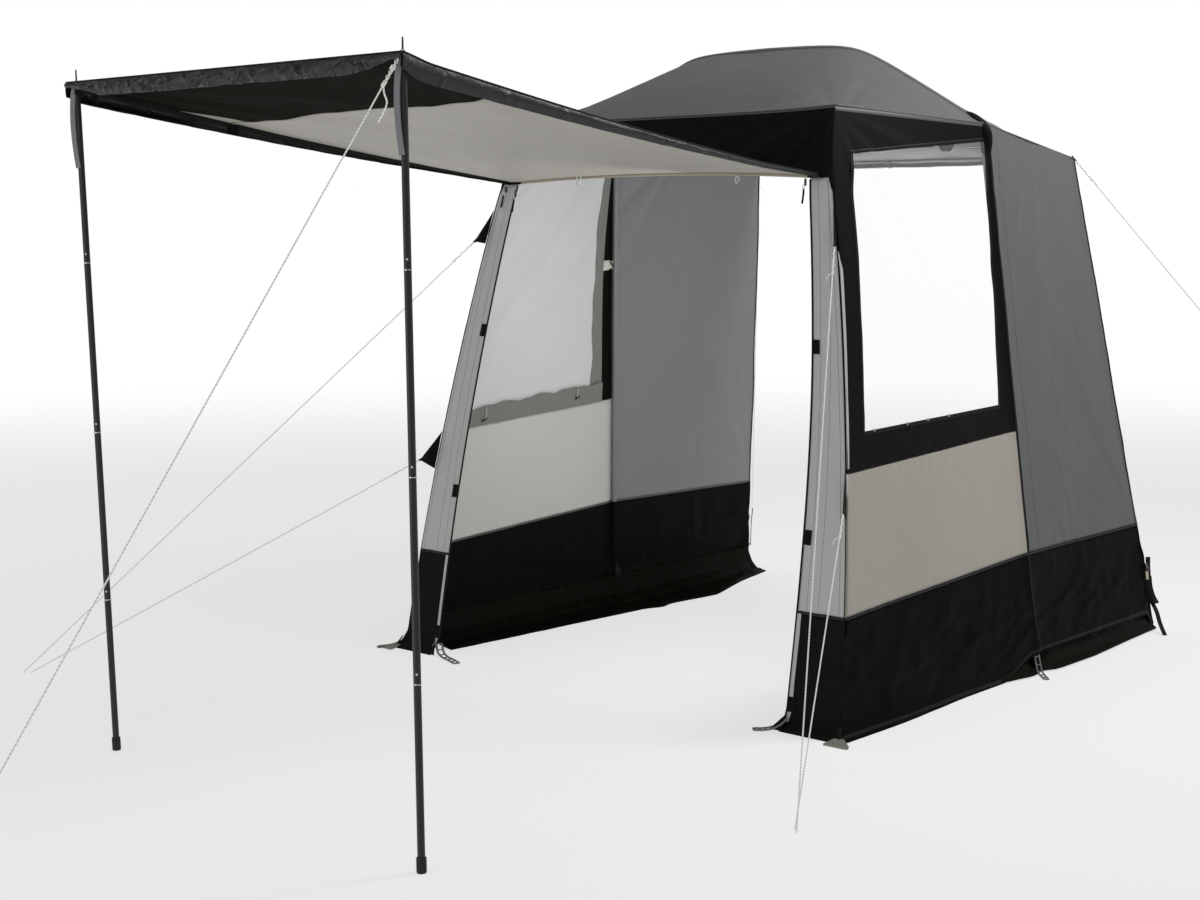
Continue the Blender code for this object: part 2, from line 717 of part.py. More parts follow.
def build_guys(rows):
    for side, sign in (("left", -1), ("right", 1)):
        peg = FRONT_PEG if sign > 0 else LEFT_FRONT_PEG
        for level, span in (("upper", UPPER_TAB), ("lower", LOWER_TAB)):
            start = build_tab(side + "_" + level + "_guy_tab", span[0], span[1], sign, peg)
            end = peg if level == "upper" else (peg[0] - PEG_SPACING * sign, peg[1] + PEG_SPACING)
            build_guy(side + "_" + level + "_guy", start, end)
        corner = rear_edge_point(float(sign))
        rear = Vector((REAR_PEG[0] * sign, REAR_PEG[1], 0.0))
        start = corner + (rear - corner).normalized() * (ROPE + 3 * SEAT)
        build_guy(side + "_rear_guy", start, (REAR_PEG[0] * sign, REAR_PEG[1]))
    pad = pad_middle(rows, 1)
    peg = Vector((CANOPY_PEG[0], CANOPY_PEG[1], 0.0))
    start = Vector((pad.x, pad.y, CANOPY_FRONT_Z + CANOPY_GUY_RISE))
    flat = Vector((peg.x - start.x, peg.y - start.y, 0.0)).normalized()
    build_guy("right_canopy_guy", start + flat * (SPIKE_RADIUS + 3 * SEAT), CANOPY_PEG)


def pad_middle(rows, sign):
    corner = rows[-1][-1 if sign > 0 else 0]
    return Vector((corner.x - sign * EYELET_INSET, corner.y + EYELET_INSET, corner.z))


def build():
    clear_scene()
    shell = build_tent_shell()
    slots = {
        "front_header": "black_ripstop",
        "roof_front_panel": "grey_ripstop",
        "roof_rear_panel": "grey_ripstop",
    }
    for side in ("left", "right"):
        slots[side + "_front_strip"] = "silver_ripstop"
        slots[side + "_strip_skirt"] = "black_ripstop"
        slots[side + "_window_frame"] = "black_ripstop"
        slots[side + "_window_pane"] = "clear_film"
        slots[side + "_lower_panel"] = "beige_ripstop"
        slots[side + "_rear_panel"] = "grey_ripstop"
        slots[side + "_skirt"] = "black_ripstop"
    for name, slot in slots.items():
        shell.body(name, slot)
    build_curtain(shell)

    canopy, rows = build_canopy_shell()
    canopy.body("canopy_inner_panel", "beige_ripstop")
    for name in ("canopy_outer_panel", "canopy_valance", "left_canopy_hem", "right_canopy_hem"):
        canopy.body(name, "black_ripstop")

    build_canopy_pole("right_canopy_pole", RIGHT_POLE_FOOT, pad_middle(rows, 1))
    build_canopy_pole("left_canopy_pole", LEFT_POLE_FOOT, pad_middle(rows, -1))
    build_hoop()
    for side in ("left", "right"):
        build_corner_pole(side)
        build_mud_flap(side)
    build_door_roll()
    build_guys(rows)


build()
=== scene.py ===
# Looks of the tailgate tent: cloth, cords, fittings, floor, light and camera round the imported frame.
# Metres. Right is +X, the door faces -Y, Z is up. Every shape is a surface of two parameters, worked out
# with numpy from the tent's own sizes.

import math

import bpy
import numpy as np
from mathutils import Matrix, Vector


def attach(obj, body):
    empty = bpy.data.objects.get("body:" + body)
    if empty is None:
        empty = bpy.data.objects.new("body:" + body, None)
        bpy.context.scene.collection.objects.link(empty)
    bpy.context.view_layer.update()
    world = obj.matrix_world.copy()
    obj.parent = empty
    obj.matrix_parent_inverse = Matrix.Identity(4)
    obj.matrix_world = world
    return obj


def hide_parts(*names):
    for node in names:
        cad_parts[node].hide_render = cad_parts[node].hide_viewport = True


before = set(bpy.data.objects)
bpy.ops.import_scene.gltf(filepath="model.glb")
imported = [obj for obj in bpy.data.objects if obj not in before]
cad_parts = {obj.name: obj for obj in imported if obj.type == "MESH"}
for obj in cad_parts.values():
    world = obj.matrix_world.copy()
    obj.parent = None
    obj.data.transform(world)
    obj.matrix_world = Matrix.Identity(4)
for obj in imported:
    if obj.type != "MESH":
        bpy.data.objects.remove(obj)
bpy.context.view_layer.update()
print("frame loaded:", len(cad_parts), "nodes")

# The camera of the photograph, found from the tent's own edges
cameraForm = {
    "place": (4.5907, -5.0488, 1.7255),
    "turn": 0.7369,      # radians to the left of +Y
    "tilt": -0.1226,     # radians, looking down
    "roll": -0.0067,
    "lens": 57.0,        # mm on a 36 mm wide sensor
}

# Sizes that all the cloth is stretched over, the same as the frame's
tentForm = {
    "frontLevels": (0.0, 0.393, 0.865, 0.925, 0.986, 1.932, 2.10),
    "middleLevels": (0.0, 0.454, 0.921, 0.970, 1.020, 1.994, 2.051),
    "rearLevels": (0.0, 0.442, 1.942),
    "cornerFoot": 1.066, "cornerSlope": 0.0561, "cornerCurve": 0.0488,
    "frontSlope": 0.17, "frontCurve": 0.514, "frontBend": 1.75,
    "postFoot": 0.872, "postCurve": 0.0493,
    "middleFoot": (1.085, 1.277), "middleLean": (-0.0853, -0.0795),
    "rearFoot": (1.072, 2.265), "rearLean": (-0.1411, -0.1385),
    "doorTop": 1.85, "doorRise": 0.020, "postShare": 0.8,
    "windowFront": (0.100, 0.117), "windowRear": (0.917, 0.987),
    "crown": 2.372, "shoulderSlope": 0.66, "shoulderRound": 0.07, "archLean": 0.357,
    "frontSag": 0.012, "roofBulge": 0.015, "rearCamber": 0.075, "spacingPower": 1.7,
    "cornerRound": 0.012,   # radius of the fold round the corner poles
    "clothThick": 0.0010,
    "kick": 0.038, "kickHeight": 0.075,   # the lowest cloth spreads outwards on the ground
}

insideTent = np.array((0.0, 1.1, 1.0))


def mix(a, b, share):
    return a + (b - a) * share


def smooth(low, high, x):
    # 0 below low, 1 above high, and a cubic ease between them
    t = np.clip((x - low) / (high - low), 0.0, 1.0)
    return t * t * (3.0 - 2.0 * t)


def unit(v):
    return v / np.maximum(np.linalg.norm(v, axis=-1, keepdims=True), 1e-12)


def xyz(x, y, z):
    return np.stack(np.broadcast_arrays(x, y, z), -1).astype(float)


def flip(points):
    return points * np.array((-1.0, 1.0, 1.0))


def onSide(points, side):
    # shapes are worked out on the right side; the left one is the same seen in a mirror
    return points if side == "right" else flip(points)


# Lines of the frame


def frontY(z):
    # the front leans back in a straight line, and above the bend by the square of the height over it
    over = np.maximum(0.0, z - tentForm["frontBend"])
    return tentForm["frontSlope"] * z + tentForm["frontCurve"] * over ** 2


def cornerLine(z):
    x = tentForm["cornerFoot"] - tentForm["cornerSlope"] * z - tentForm["cornerCurve"] * z * z
    return xyz(x, frontY(z), z)


def postLine(z):
    return xyz(tentForm["postFoot"] - tentForm["postCurve"] * z * z, frontY(z), z)


def leaningLine(foot, lean, z):
    return xyz(foot[0] + lean[0] * z, foot[1] + lean[1] * z, z)


def middleLine(z):
    return leaningLine(tentForm["middleFoot"], tentForm["middleLean"], z)


def rearLine(z):
    return leaningLine(tentForm["rearFoot"], tentForm["rearLean"], z)


def wallPoint(share, height):
    # straight from the corner line (share 0) to the middle seam (1), then on to the rear edge (2)
    middleHeight = np.interp(height, tentForm["frontLevels"], tentForm["middleLevels"])
    middle = tentForm["middleLevels"]
    rearHeight = np.interp(middleHeight, (middle[0], middle[1], middle[-1]), tentForm["rearLevels"])
    a, b, c = cornerLine(height), middleLine(middleHeight), rearLine(rearHeight)
    first = np.clip(share, 0.0, 1.0)[..., None]
    second = np.clip(share - 1.0, 0.0, 1.0)[..., None]
    return a + (b - a) * first + (c - b) * second


def archPoint(s):
    # two slopes and a flat crown joined by the root of a sum of squares; it leans forward as it rises
    foot = middleLine(tentForm["middleLevels"][-1])
    soft, crown = tentForm["shoulderRound"], tentForm["crown"]
    slope = foot[2] + tentForm["shoulderSlope"] * foot[0] * (1.0 - np.abs(s))
    z = 0.5 * (slope + crown - np.sqrt((slope - crown) ** 2 + soft ** 2))
    low = foot[2] + 0.5 * (crown - foot[2] - math.sqrt((crown - foot[2]) ** 2 + soft ** 2))
    z = z + (foot[2] - low) * np.abs(s) ** 8
    return xyz(foot[0] * s, foot[1] - tentForm["archLean"] * (z - foot[2]), z)


def frontEdge(s):
    corner = cornerLine(tentForm["frontLevels"][-1])
    share = np.sign(s) * (1.0 - (1.0 - np.abs(s)) ** tentForm["spacingPower"])
    return xyz(corner[0] * share, corner[1], corner[2] - tentForm["frontSag"] * (1.0 - share ** 4))


def rearEdge(s):
    corner = rearLine(tentForm["rearLevels"][-1])
    return xyz(corner[0] * s, corner[1], corner[2] + tentForm["rearCamber"] * (1.0 - s * s))


def doorEdge(s):
    # lower edge of the header: level from the corner to the post, then a shallow bow between the posts
    inner = np.minimum(np.abs(s) / tentForm["postShare"], 1.0)
    x = np.interp(np.abs(s), (0.0, tentForm["postShare"], 1.0),
                  (0.0, postLine(tentForm["doorTop"])[0], cornerLine(tentForm["doorTop"])[0]))
    z = tentForm["doorTop"] + tentForm["doorRise"] * (1.0 - inner ** 2)
    return xyz(np.sign(s) * x, frontY(z), z)


def headerPoint(s, t):
    # straight from the door edge to the roof edge, on the leaning front, its ends held to the corner line
    low, high = doorEdge(s), frontEdge(s)
    z = mix(low[..., 2], high[..., 2], t)
    x = mix(low[..., 0], high[..., 0], t)
    endZ = mix(tentForm["doorTop"], tentForm["frontLevels"][-1], t)
    endLow, endHigh = cornerLine(tentForm["doorTop"])[0], cornerLine(tentForm["frontLevels"][-1])[0]
    x = x + np.sign(s) * (cornerLine(endZ)[..., 0] - mix(endLow, endHigh, t)) * np.abs(s) ** 8
    return xyz(x, frontY(z), z)


def stepsBetween(marks, counts):
    # marks joined by equal steps, counts[i] of them between marks i and i + 1
    parts = [np.linspace(a, b, n, endpoint=False) for a, b, n in zip(marks, marks[1:], counts)]
    return np.concatenate(parts + [np.array(marks[-1:])])


# Folds. Each returns a height in metres over the flat cloth, for whole arrays of places on it.


def ripple(u, v, seed, size, count=14, octaves=3.0):
    # a sum of sines in random directions, the short ones lower in proportion to their length
    draw = np.random.default_rng(seed)
    total = np.zeros(np.broadcast(u, v).shape)
    for _ in range(count):
        turn, share, phase = draw.uniform(0, 2 * math.pi), draw.uniform(0, octaves - 1), draw.uniform(0, 7)
        short = 2.0 ** share
        wave = 2 * math.pi * short / size
        total += np.sin(wave * (u * math.cos(turn) + v * math.sin(turn)) + phase) / short
    return total / math.sqrt(count / 2)


def creases(u, v, seed, count, area, length, width, lean=0.0, spread=math.pi):
    # short soft ridges: a bell across each and a cosine bell along it, at random places in the area
    draw = np.random.default_rng(seed)
    total = np.zeros(np.broadcast(u, v).shape)
    for _ in range(count):
        cu, cv = draw.uniform(area[0], area[1]), draw.uniform(area[2], area[3])
        turn = lean + draw.uniform(-0.5, 0.5) * spread
        long, wide = length * draw.uniform(0.6, 1.4), width * draw.uniform(0.6, 1.5)
        along = (u - cu) * math.cos(turn) + (v - cv) * math.sin(turn)
        across = (v - cv) * math.cos(turn) - (u - cu) * math.sin(turn)
        across = across + 0.06 * long * np.sin(along / long * 3.0 + draw.uniform(0, 6))
        bell = np.cos(np.clip(along / long, -1, 1) * math.pi / 2) ** 2
        total += draw.choice((-1.0, 1.0)) * bell * np.exp(-(across / wide) ** 2)
    return total


def fan(u, v, centre, towards, spread, folds, reach, seed=1):
    # folds that leave a held point like the ribs of a fan, and die out with the distance
    draw = np.random.default_rng(seed)
    du, dv = u - centre[0], v - centre[1]
    turn = (np.arctan2(dv, du) - towards + math.pi) % (2 * math.pi) - math.pi
    far = np.hypot(du, dv)
    inside = np.clip(1.0 - (turn / spread) ** 2, 0.0, 1.0)
    waves = np.sin(folds * turn + draw.uniform(0, 6)) + 0.5 * np.sin(2.3 * folds * turn + draw.uniform(0, 6))
    return waves * inside * (far / reach) * np.exp(1.0 - far / reach)


# Meshes


def gridNormals(grid):
    along = np.gradient(grid, axis=1)
    up = np.gradient(grid, axis=0)
    return unit(np.cross(along, up))


def gridMetres(grid):
    # distance along the rows and along the columns, so that a weave keeps its real size
    across = np.linalg.norm(np.diff(grid, axis=1), axis=-1)
    upwards = np.linalg.norm(np.diff(grid, axis=0), axis=-1)
    u = np.concatenate([np.zeros((grid.shape[0], 1)), np.cumsum(across, 1)], 1)
    v = np.concatenate([np.zeros((1, grid.shape[1])), np.cumsum(upwards, 0)], 0)
    return u, v


def lift(grid, height):
    # the cloth moved along its own normals by a height for each point
    return grid + gridNormals(grid) * height[..., None]


def cellQuads(mask):
    # one face for every cell that is wanted
    row, column = np.nonzero(mask)
    a = row * (mask.shape[1] + 1) + column
    return np.stack([a, a + 1, a + mask.shape[1] + 2, a + mask.shape[1] + 1], 1)


def newMesh(name, points, faces, uv, materials):
    mesh = bpy.data.meshes.new(name)
    mesh.from_pydata(points.tolist(), [], faces)
    corners = np.zeros(len(mesh.loops), np.int32)
    mesh.loops.foreach_get("vertex_index", corners)
    layer = mesh.uv_layers.new(name="cloth")
    layer.data.foreach_set("uv", uv[corners].astype(np.float32).ravel())
    for material in materials:
        mesh.materials.append(material)
    mesh.shade_smooth()
    mesh.update()
    piece = bpy.data.objects.new(name, mesh)
    bpy.context.scene.collection.objects.link(piece)
    return piece


def clothPiece(name, grid, mask, outside, inside, metres=None, away=insideTent, thick=None):
    # the wanted cells of a grid as one sheet, its outer face looking away from a point
    u, v = metres if metres is not None else gridMetres(grid)
    quads = cellQuads(mask)
    used, back = np.unique(quads, return_inverse=True)
    quads = back.reshape(quads.shape)
    points = grid.reshape(-1, 3)[used]
    uv = np.stack([u.ravel()[used], v.ravel()[used]], 1)
    corner = points[quads]
    outwards = np.cross(corner[:, 2] - corner[:, 0], corner[:, 3] - corner[:, 1])
    if (outwards * (corner.mean(1) - away)).sum() < 0.0:
        quads = quads[:, ::-1]
    piece = newMesh(name, points, quads.tolist(), uv, (outside, inside))
    solid = piece.modifiers.new("cloth thickness", "SOLIDIFY")
    solid.thickness = tentForm["clothThick"] if thick is None else thick
    solid.offset = -1.0
    solid.material_offset = 1
    return piece


def wholeMask(grid):
    return np.ones((grid.shape[0] - 1, grid.shape[1] - 1), bool)


def roundProfile(radius, sides):
    turn = np.arange(sides) * 2 * math.pi / sides
    return np.stack([np.cos(turn), np.sin(turn)], 1) * radius


def bandProfile(width, thick, rise=0.0):
    # a flat band with softened edges, its middle lifted by rise
    half, edge = width / 2, min(thick / 2, width / 6)
    across = np.array((-half, -half + edge, 0.0, half - edge, half))
    upper = np.array((0.0, 0.5, 0.5, 0.5, 0.0)) * thick + np.array((0, 0.6, 1, 0.6, 0)) * rise
    lower = np.array((-0.5, -0.5, -0.5)) * thick
    return np.concatenate([np.stack([across, upper], 1)[::-1], np.stack([across[1:4], lower], 1)])


def sweep(name, path, profile, material, up=(0.0, 0.0, 1.0), scale=1.0, loop=False):
    # a profile carried along a path: across is the path's direction times up, and it stays square to the path
    path = np.asarray(path, float)
    count, sides = len(path), len(profile)
    ahead = np.roll(path, -1, 0) - np.roll(path, 1, 0) if loop else np.gradient(path, axis=0)
    ahead = unit(ahead)
    across = unit(np.cross(ahead, np.broadcast_to(np.asarray(up, float), path.shape)))
    over = np.cross(across, ahead)
    size = np.broadcast_to(np.asarray(scale, float), (count,))[:, None, None]
    shape = (across[:, None] * profile[None, :, :1] + over[:, None] * profile[None, :, 1:]) * size
    points = (path[:, None] + shape).reshape(-1, 3)
    steps = count if loop else count - 1
    row, column = np.meshgrid(np.arange(steps), np.arange(sides), indexing="ij")
    nextRow, nextColumn = (row + 1) % count, (column + 1) % sides
    quads = np.stack([row * sides + column, row * sides + nextColumn,
                      nextRow * sides + nextColumn, nextRow * sides + column], -1).reshape(-1, 4)
    a, b, c, d = (points[quads[:, i]] for i in range(4))
    turned = ((a * np.cross(b, c)).sum() + (a * np.cross(c, d)).sum()) < 0.0
    long = np.concatenate([[0.0], np.cumsum(np.linalg.norm(np.diff(path, axis=0), axis=1))])
    roundIt = np.concatenate([[0.0], np.cumsum(np.linalg.norm(np.diff(profile, axis=0), axis=1))])
    uv = np.stack(np.broadcast_arrays(roundIt[None, :], long[:, None]), -1).reshape(-1, 2)
    faces = (quads[:, ::-1] if turned else quads).tolist()
    if not loop:
        first, last = list(range(sides)), list(range((count - 1) * sides, count * sides))
        faces += [first if turned else first[::-1], last[::-1] if turned else last]
    piece = newMesh(name, points, faces, uv, (material,))
    piece.data.set_sharp_from_angle(angle=math.radians(50))
    return piece


def settle(piece, slot, *replaced):
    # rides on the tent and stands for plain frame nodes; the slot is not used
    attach(piece, "root")
    if replaced:
        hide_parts(*replaced)
    return piece


def declareCloth(piece, grid, mask):
    # works out the flat cut, as wide and long as the longest row and column that the piece covers; the sizes are not
    # kept
    u, v = gridMetres(grid)
    rows, columns = np.nonzero(mask.any(1))[0], np.nonzero(mask.any(0))[0]
    part = (slice(rows[0], rows[-1] + 2), slice(columns[0], columns[-1] + 2))
    width = (u[part][:, -1] - u[part][:, 0]).max()
    length = (v[part][-1] - v[part][0]).max()
    a, b = grid[1:, 1:] - grid[:-1, :-1], grid[1:, :-1] - grid[:-1, 1:]
    area = (np.linalg.norm(np.cross(a, b), axis=-1) / 2)[mask].sum()
    area = min(area, width * length)
    if area < 0.35 * width * length:
        width = area / length   # a frame of strips, cut side by side from one piece


# Materials. Colours are sRGB hex, pattern sizes real millimetres on the cloth's own UV map in metres.


def linear(code, alpha=1.0):
    parts = [int(code[i:i + 2], 16) / 255 for i in (1, 3, 5)]
    return tuple(p / 12.92 if p <= 0.04045 else ((p + 0.055) / 1.055) ** 2.4 for p in parts) + (alpha,)


def tint(colour, share):
    return tuple(min(1.0, c * share) for c in colour[:3]) + (1.0,)


def addNode(tree, kind, settings=None, links=None):
    node = tree.nodes.new(kind)
    for key, value in (settings or {}).items():
        if isinstance(key, int) or key in node.inputs:
            node.inputs[key].default_value = value
        else:
            setattr(node, key, value)
    for key, source in (links or {}).items():
        tree.links.new(source, node.inputs[key])
    return node


def newMaterial(name, colour, roughness, metallic=0.0, **sockets):
    material = bpy.data.materials.new(name)
    material.use_nodes = True
    shader = material.node_tree.nodes["Principled BSDF"]
    shader.inputs["Base Color"].default_value = linear(colour)
    shader.inputs["Roughness"].default_value = roughness
    shader.inputs["Metallic"].default_value = metallic
    for key, value in sockets.items():
        shader.inputs[key.replace("_", " ")].default_value = value
    return material, material.node_tree, shader


def gridLines(tree, place, spacing, share):
    # 1 on the heavier threads of a ripstop weave, which stand spacing apart both ways
    apart = addNode(tree, "ShaderNodeSeparateXYZ", links={0: place})
    lines = []
    for axis in ("X", "Y"):
        scaled = addNode(tree, "ShaderNodeMath", {"operation": "MULTIPLY", 1: 1.0 / spacing},
                         {0: apart.outputs[axis]})
        part = addNode(tree, "ShaderNodeMath", {"operation": "FRACT"}, {0: scaled.outputs[0]})
        lines.append(addNode(tree, "ShaderNodeMath", {"operation": "LESS_THAN", 1: share},
                             {0: part.outputs[0]}))
    return addNode(tree, "ShaderNodeMath", {"operation": "MAXIMUM"},
                   {0: lines[0].outputs[0], 1: lines[1].outputs[0]})


def clothMaterial(name, colour, roughness=0.55, sheen=0.12, mottle=0.05, grain=0.05, ripstop=0.006,
                  thread=0.04, bump=0.35, crush=0.0, specular=0.4):
    # a woven cloth: threads, heavier ripstop threads, slow changes of tone, and a little crushing
    material, tree, shader = newMaterial(name, colour, roughness, Sheen_Weight=sheen, Sheen_Roughness=0.5,
                                         Specular_IOR_Level=specular)
    base = linear(colour)
    place = addNode(tree, "ShaderNodeUVMap", {"uv_map": "cloth"}).outputs["UV"]
    slow = addNode(tree, "ShaderNodeTexNoise", {"Scale": 2.6, "Detail": 3.0, "Roughness": 0.55}, {"Vector": place})
    fine = addNode(tree, "ShaderNodeTexNoise", {"Scale": 190.0, "Detail": 2.0}, {"Vector": place})
    tone = addNode(tree, "ShaderNodeMix", {"data_type": "RGBA", 6: tint(base, 1 - mottle), 7: tint(base, 1 + mottle)},
                   {0: slow.outputs["Fac"]})
    grains = addNode(tree, "ShaderNodeMix", {"data_type": "RGBA", "blend_type": "MULTIPLY", 7: (1 - 2 * grain,) * 3 + (1,)},
                     {0: fine.outputs["Fac"], 6: tone.outputs[2]})
    colourOut, height = grains.outputs[2], fine.outputs["Fac"]
    if ripstop:
        lines = gridLines(tree, place, ripstop, 0.16)
        weight = addNode(tree, "ShaderNodeMath", {"operation": "MULTIPLY", 1: thread}, {0: lines.outputs[0]})
        heavy = addNode(tree, "ShaderNodeMix", {"data_type": "RGBA", 7: tint(base, 0.35)},
                        {0: weight.outputs[0], 6: colourOut})
        colourOut = heavy.outputs[2]
        height = addNode(tree, "ShaderNodeMath", {"operation": "MULTIPLY_ADD", 1: 0.5},
                         {0: lines.outputs[0], 2: height}).outputs[0]
    tree.links.new(colourOut, shader.inputs["Base Color"])
    weave = addNode(tree, "ShaderNodeBump", {"Strength": bump, "Distance": 0.0004}, {"Height": height})
    normal = weave
    if crush:
        folds = addNode(tree, "ShaderNodeTexNoise", {"Scale": 16.0, "Detail": 5.0, "Roughness": 0.6, "Distortion": 0.6},
                        {"Vector": place})
        normal = addNode(tree, "ShaderNodeBump", {"Strength": crush, "Distance": 0.006},
                         {"Height": folds.outputs["Fac"], "Normal": weave.outputs[0]})
    tree.links.new(normal.outputs[0], shader.inputs["Normal"])
    return material


def coatedMetal(name, colour, roughness, metallic, scratch=0.06):
    # powder coat or bare metal on a round bar: fine orange peel and rubbed streaks along it
    material, tree, shader = newMaterial(name, colour, roughness, metallic)
    place = addNode(tree, "ShaderNodeTexCoord").outputs["Object"]
    peel = addNode(tree, "ShaderNodeTexNoise", {"Scale": 900.0, "Detail": 2.0}, {"Vector": place})
    long = addNode(tree, "ShaderNodeMapping", {"Scale": (140.0, 140.0, 3.0)}, {"Vector": place})
    rubbed = addNode(tree, "ShaderNodeTexNoise", {"Scale": 1.0, "Detail": 4.0}, {"Vector": long.outputs[0]})
    base = linear(colour)
    tone = addNode(tree, "ShaderNodeMix", {"data_type": "RGBA", 6: base, 7: tint(base, 1.0 + 10 * scratch)},
                   {0: rubbed.outputs["Fac"]})
    tree.links.new(tone.outputs[2], shader.inputs["Base Color"])
    gloss = addNode(tree, "ShaderNodeMapRange", {"To Min": roughness - 0.08, "To Max": roughness + 0.12},
                    {"Value": rubbed.outputs["Fac"]})
    tree.links.new(gloss.outputs[0], shader.inputs["Roughness"])
    bump = addNode(tree, "ShaderNodeBump", {"Strength": 0.15, "Distance": 0.0003}, {"Height": peel.outputs["Fac"]})
    tree.links.new(bump.outputs[0], shader.inputs["Normal"])
    return material


def ribbedMaterial(name, colour, roughness, ribs, depth=0.3, axis="Y", dark=0.5, share=0.45, slant=0.0):
    # a pattern that repeats along a band or cord: rib, coil or braid, ribs metres apart
    material, tree, shader = newMaterial(name, colour, roughness, Specular_IOR_Level=0.15)
    place = addNode(tree, "ShaderNodeUVMap", {"uv_map": "cloth"}).outputs["UV"]
    apart = addNode(tree, "ShaderNodeSeparateXYZ", links={0: place})
    other = "X" if axis == "Y" else "Y"
    leant = addNode(tree, "ShaderNodeMath", {"operation": "MULTIPLY_ADD", 1: slant},
                    {0: apart.outputs[other], 2: apart.outputs[axis]})
    scaled = addNode(tree, "ShaderNodeMath", {"operation": "MULTIPLY", 1: 1.0 / ribs}, {0: leant.outputs[0]})
    wave = addNode(tree, "ShaderNodeMath", {"operation": "PINGPONG", 1: 0.5}, {0: scaled.outputs[0]})
    # the low part of each rib wave takes the darker tone: painted shade in the grooves; on the white cord the narrow
    # dark part is the braid's fleck
    level = addNode(tree, "ShaderNodeMapRange", {"From Min": 0.5 * share - 0.08, "From Max": 0.5 * share + 0.08},
                    {"Value": wave.outputs[0]})
    base = linear(colour)
    tone = addNode(tree, "ShaderNodeMix", {"data_type": "RGBA", 6: tint(base, dark), 7: base},
                   {0: level.outputs[0]})
    tree.links.new(tone.outputs[2], shader.inputs["Base Color"])
    bump = addNode(tree, "ShaderNodeBump", {"Strength": depth, "Distance": 0.0006}, {"Height": wave.outputs[0]})
    tree.links.new(bump.outputs[0], shader.inputs["Normal"])
    return material


def filmMaterial(name, colour, alpha, roughness):
    # calendered clear vinyl: glossy, with a slow waviness that only the reflections show
    material, tree, shader = newMaterial(name, colour, roughness, Alpha=alpha, Specular_IOR_Level=0.5)
    place = addNode(tree, "ShaderNodeUVMap", {"uv_map": "cloth"}).outputs["UV"]
    waves = addNode(tree, "ShaderNodeTexNoise", {"Scale": 5.0, "Detail": 2.0}, {"Vector": place})
    bump = addNode(tree, "ShaderNodeBump", {"Strength": 0.25, "Distance": 0.01}, {"Height": waves.outputs["Fac"]})
    tree.links.new(bump.outputs[0], shader.inputs["Normal"])
    return material


# PU-coated polyester ripstop is woven plain and coated on the inside: dull outside, slightly glossier inside
roofOutside = clothMaterial("PU-coated polyester ripstop, charcoal, roof", "#676868", 0.50, sheen=0.0, crush=0.06, specular=0.14)
# the rear wall panels take the roof's charcoal cloth drawn a little darker: painted shade, as they get less light than
# the roof
rearShadedOutside = clothMaterial("PU-coated polyester ripstop, charcoal", "#626363", 0.50, sheen=0.0, crush=0.06, specular=0.14)
roofInside = clothMaterial("PU coating inside, charcoal", "#7b7c7d", 0.42, crush=0.10)
blackOutside = clothMaterial("PU-coated polyester ripstop, black", "#10110f", 0.60, sheen=0.0, mottle=0.10, crush=0.12, specular=0.06)
# the skirt takes the black ripstop of the header and window frame drawn darker: painted shade on the lowest cloth
skirtShadedOutside = clothMaterial("PU-coated polyester ripstop, black, skirt", "#090a06", 0.60, sheen=0.0, mottle=0.10, crush=0.12, specular=0.04)
blackInside = clothMaterial("PU coating inside, black", "#0d0e0a", 0.60, sheen=0.0, mottle=0.12, crush=0.20, specular=0.04)
# the black inside coating drawn lighter and warmer under the canopy: painted light on the underside
blackCanopyUnderLit = clothMaterial("PU coating under the canopy, black", "#171612", 0.90, sheen=0.0, crush=0.10, specular=0.02)
blackCrinkled = clothMaterial("gathered polyester ripstop, black", "#0b0c0d", 0.30, sheen=0.0, mottle=0.15, crush=0.45, specular=0.41)
stripOutside = clothMaterial("PU-coated polyester ripstop, silver grey", "#b4b5b3", 0.50, crush=0.06)
beigeOutside = clothMaterial("PU-coated polyester ripstop, sand", "#a39e95", 0.60, thread=0.03, crush=0.05)
# the sand cloth's inside is drawn much paler than its outside: painted light, for the light coming through the thin
# cloth
litBeigeInside = clothMaterial("PU coating inside, pale", "#c6c4bf", 0.50, thread=0.03, crush=0.05)
# the sand cloth's underside, its colour set to take in the glow of light through the thin canopy: painted light
canopyUnderGlow = clothMaterial("PU coating under the canopy, sand", "#9b978e", 0.55, thread=0.03, crush=0.08)
curtainCloth = clothMaterial("curtain taffeta, pale grey", "#d0d1d0", 0.65, sheen=0.2, thread=0.0, crush=0.06)
# the hem is the curtain's taffeta doubled, drawn much darker: painted shade, for the shadow it hangs in and the less
# light that comes through two layers
curtainHem = clothMaterial("curtain hem, taffeta, painted shade", "#767771", 0.65, thread=0.0, crush=0.20)
flapFilm = clothMaterial("polyethylene flap film, crinkled", "#120e08", 0.48, mottle=0.2, ripstop=0.0,
                         crush=0.9, sheen=0.0, specular=0.05)
windowFilm = filmMaterial("clear PVC window film", "#eef2f3", 0.06, 0.05)
poleSteel = coatedMetal("powder-coated steel tube, black", "#090909", 0.42, 0.0, 0.03)
brightSteel = coatedMetal("zinc-plated steel", "#b9babb", 0.30, 1.0, 0.02)
fibreglass = coatedMetal("pultruded fibreglass rod, black", "#1b1b1c", 0.35, 0.0)
footRubber = coatedMetal("moulded rubber, black", "#19191a", 0.80, 0.0, 0.02)
greyRubber = coatedMetal("moulded rubber, grey", "#6a6a68", 0.70, 0.0, 0.02)
blackPlastic = coatedMetal("moulded acetal, black", "#121212", 0.35, 0.0, 0.02)
beigePlastic = coatedMetal("moulded acetal, sand", "#b3aa94", 0.45, 0.0, 0.02)
seamBlack = ribbedMaterial("stitched seam tape, black", "#141513", 0.60, 0.006)
seamGrey = ribbedMaterial("stitched seam tape, charcoal", "#5a5b5b", 0.55, 0.006, dark=0.8)
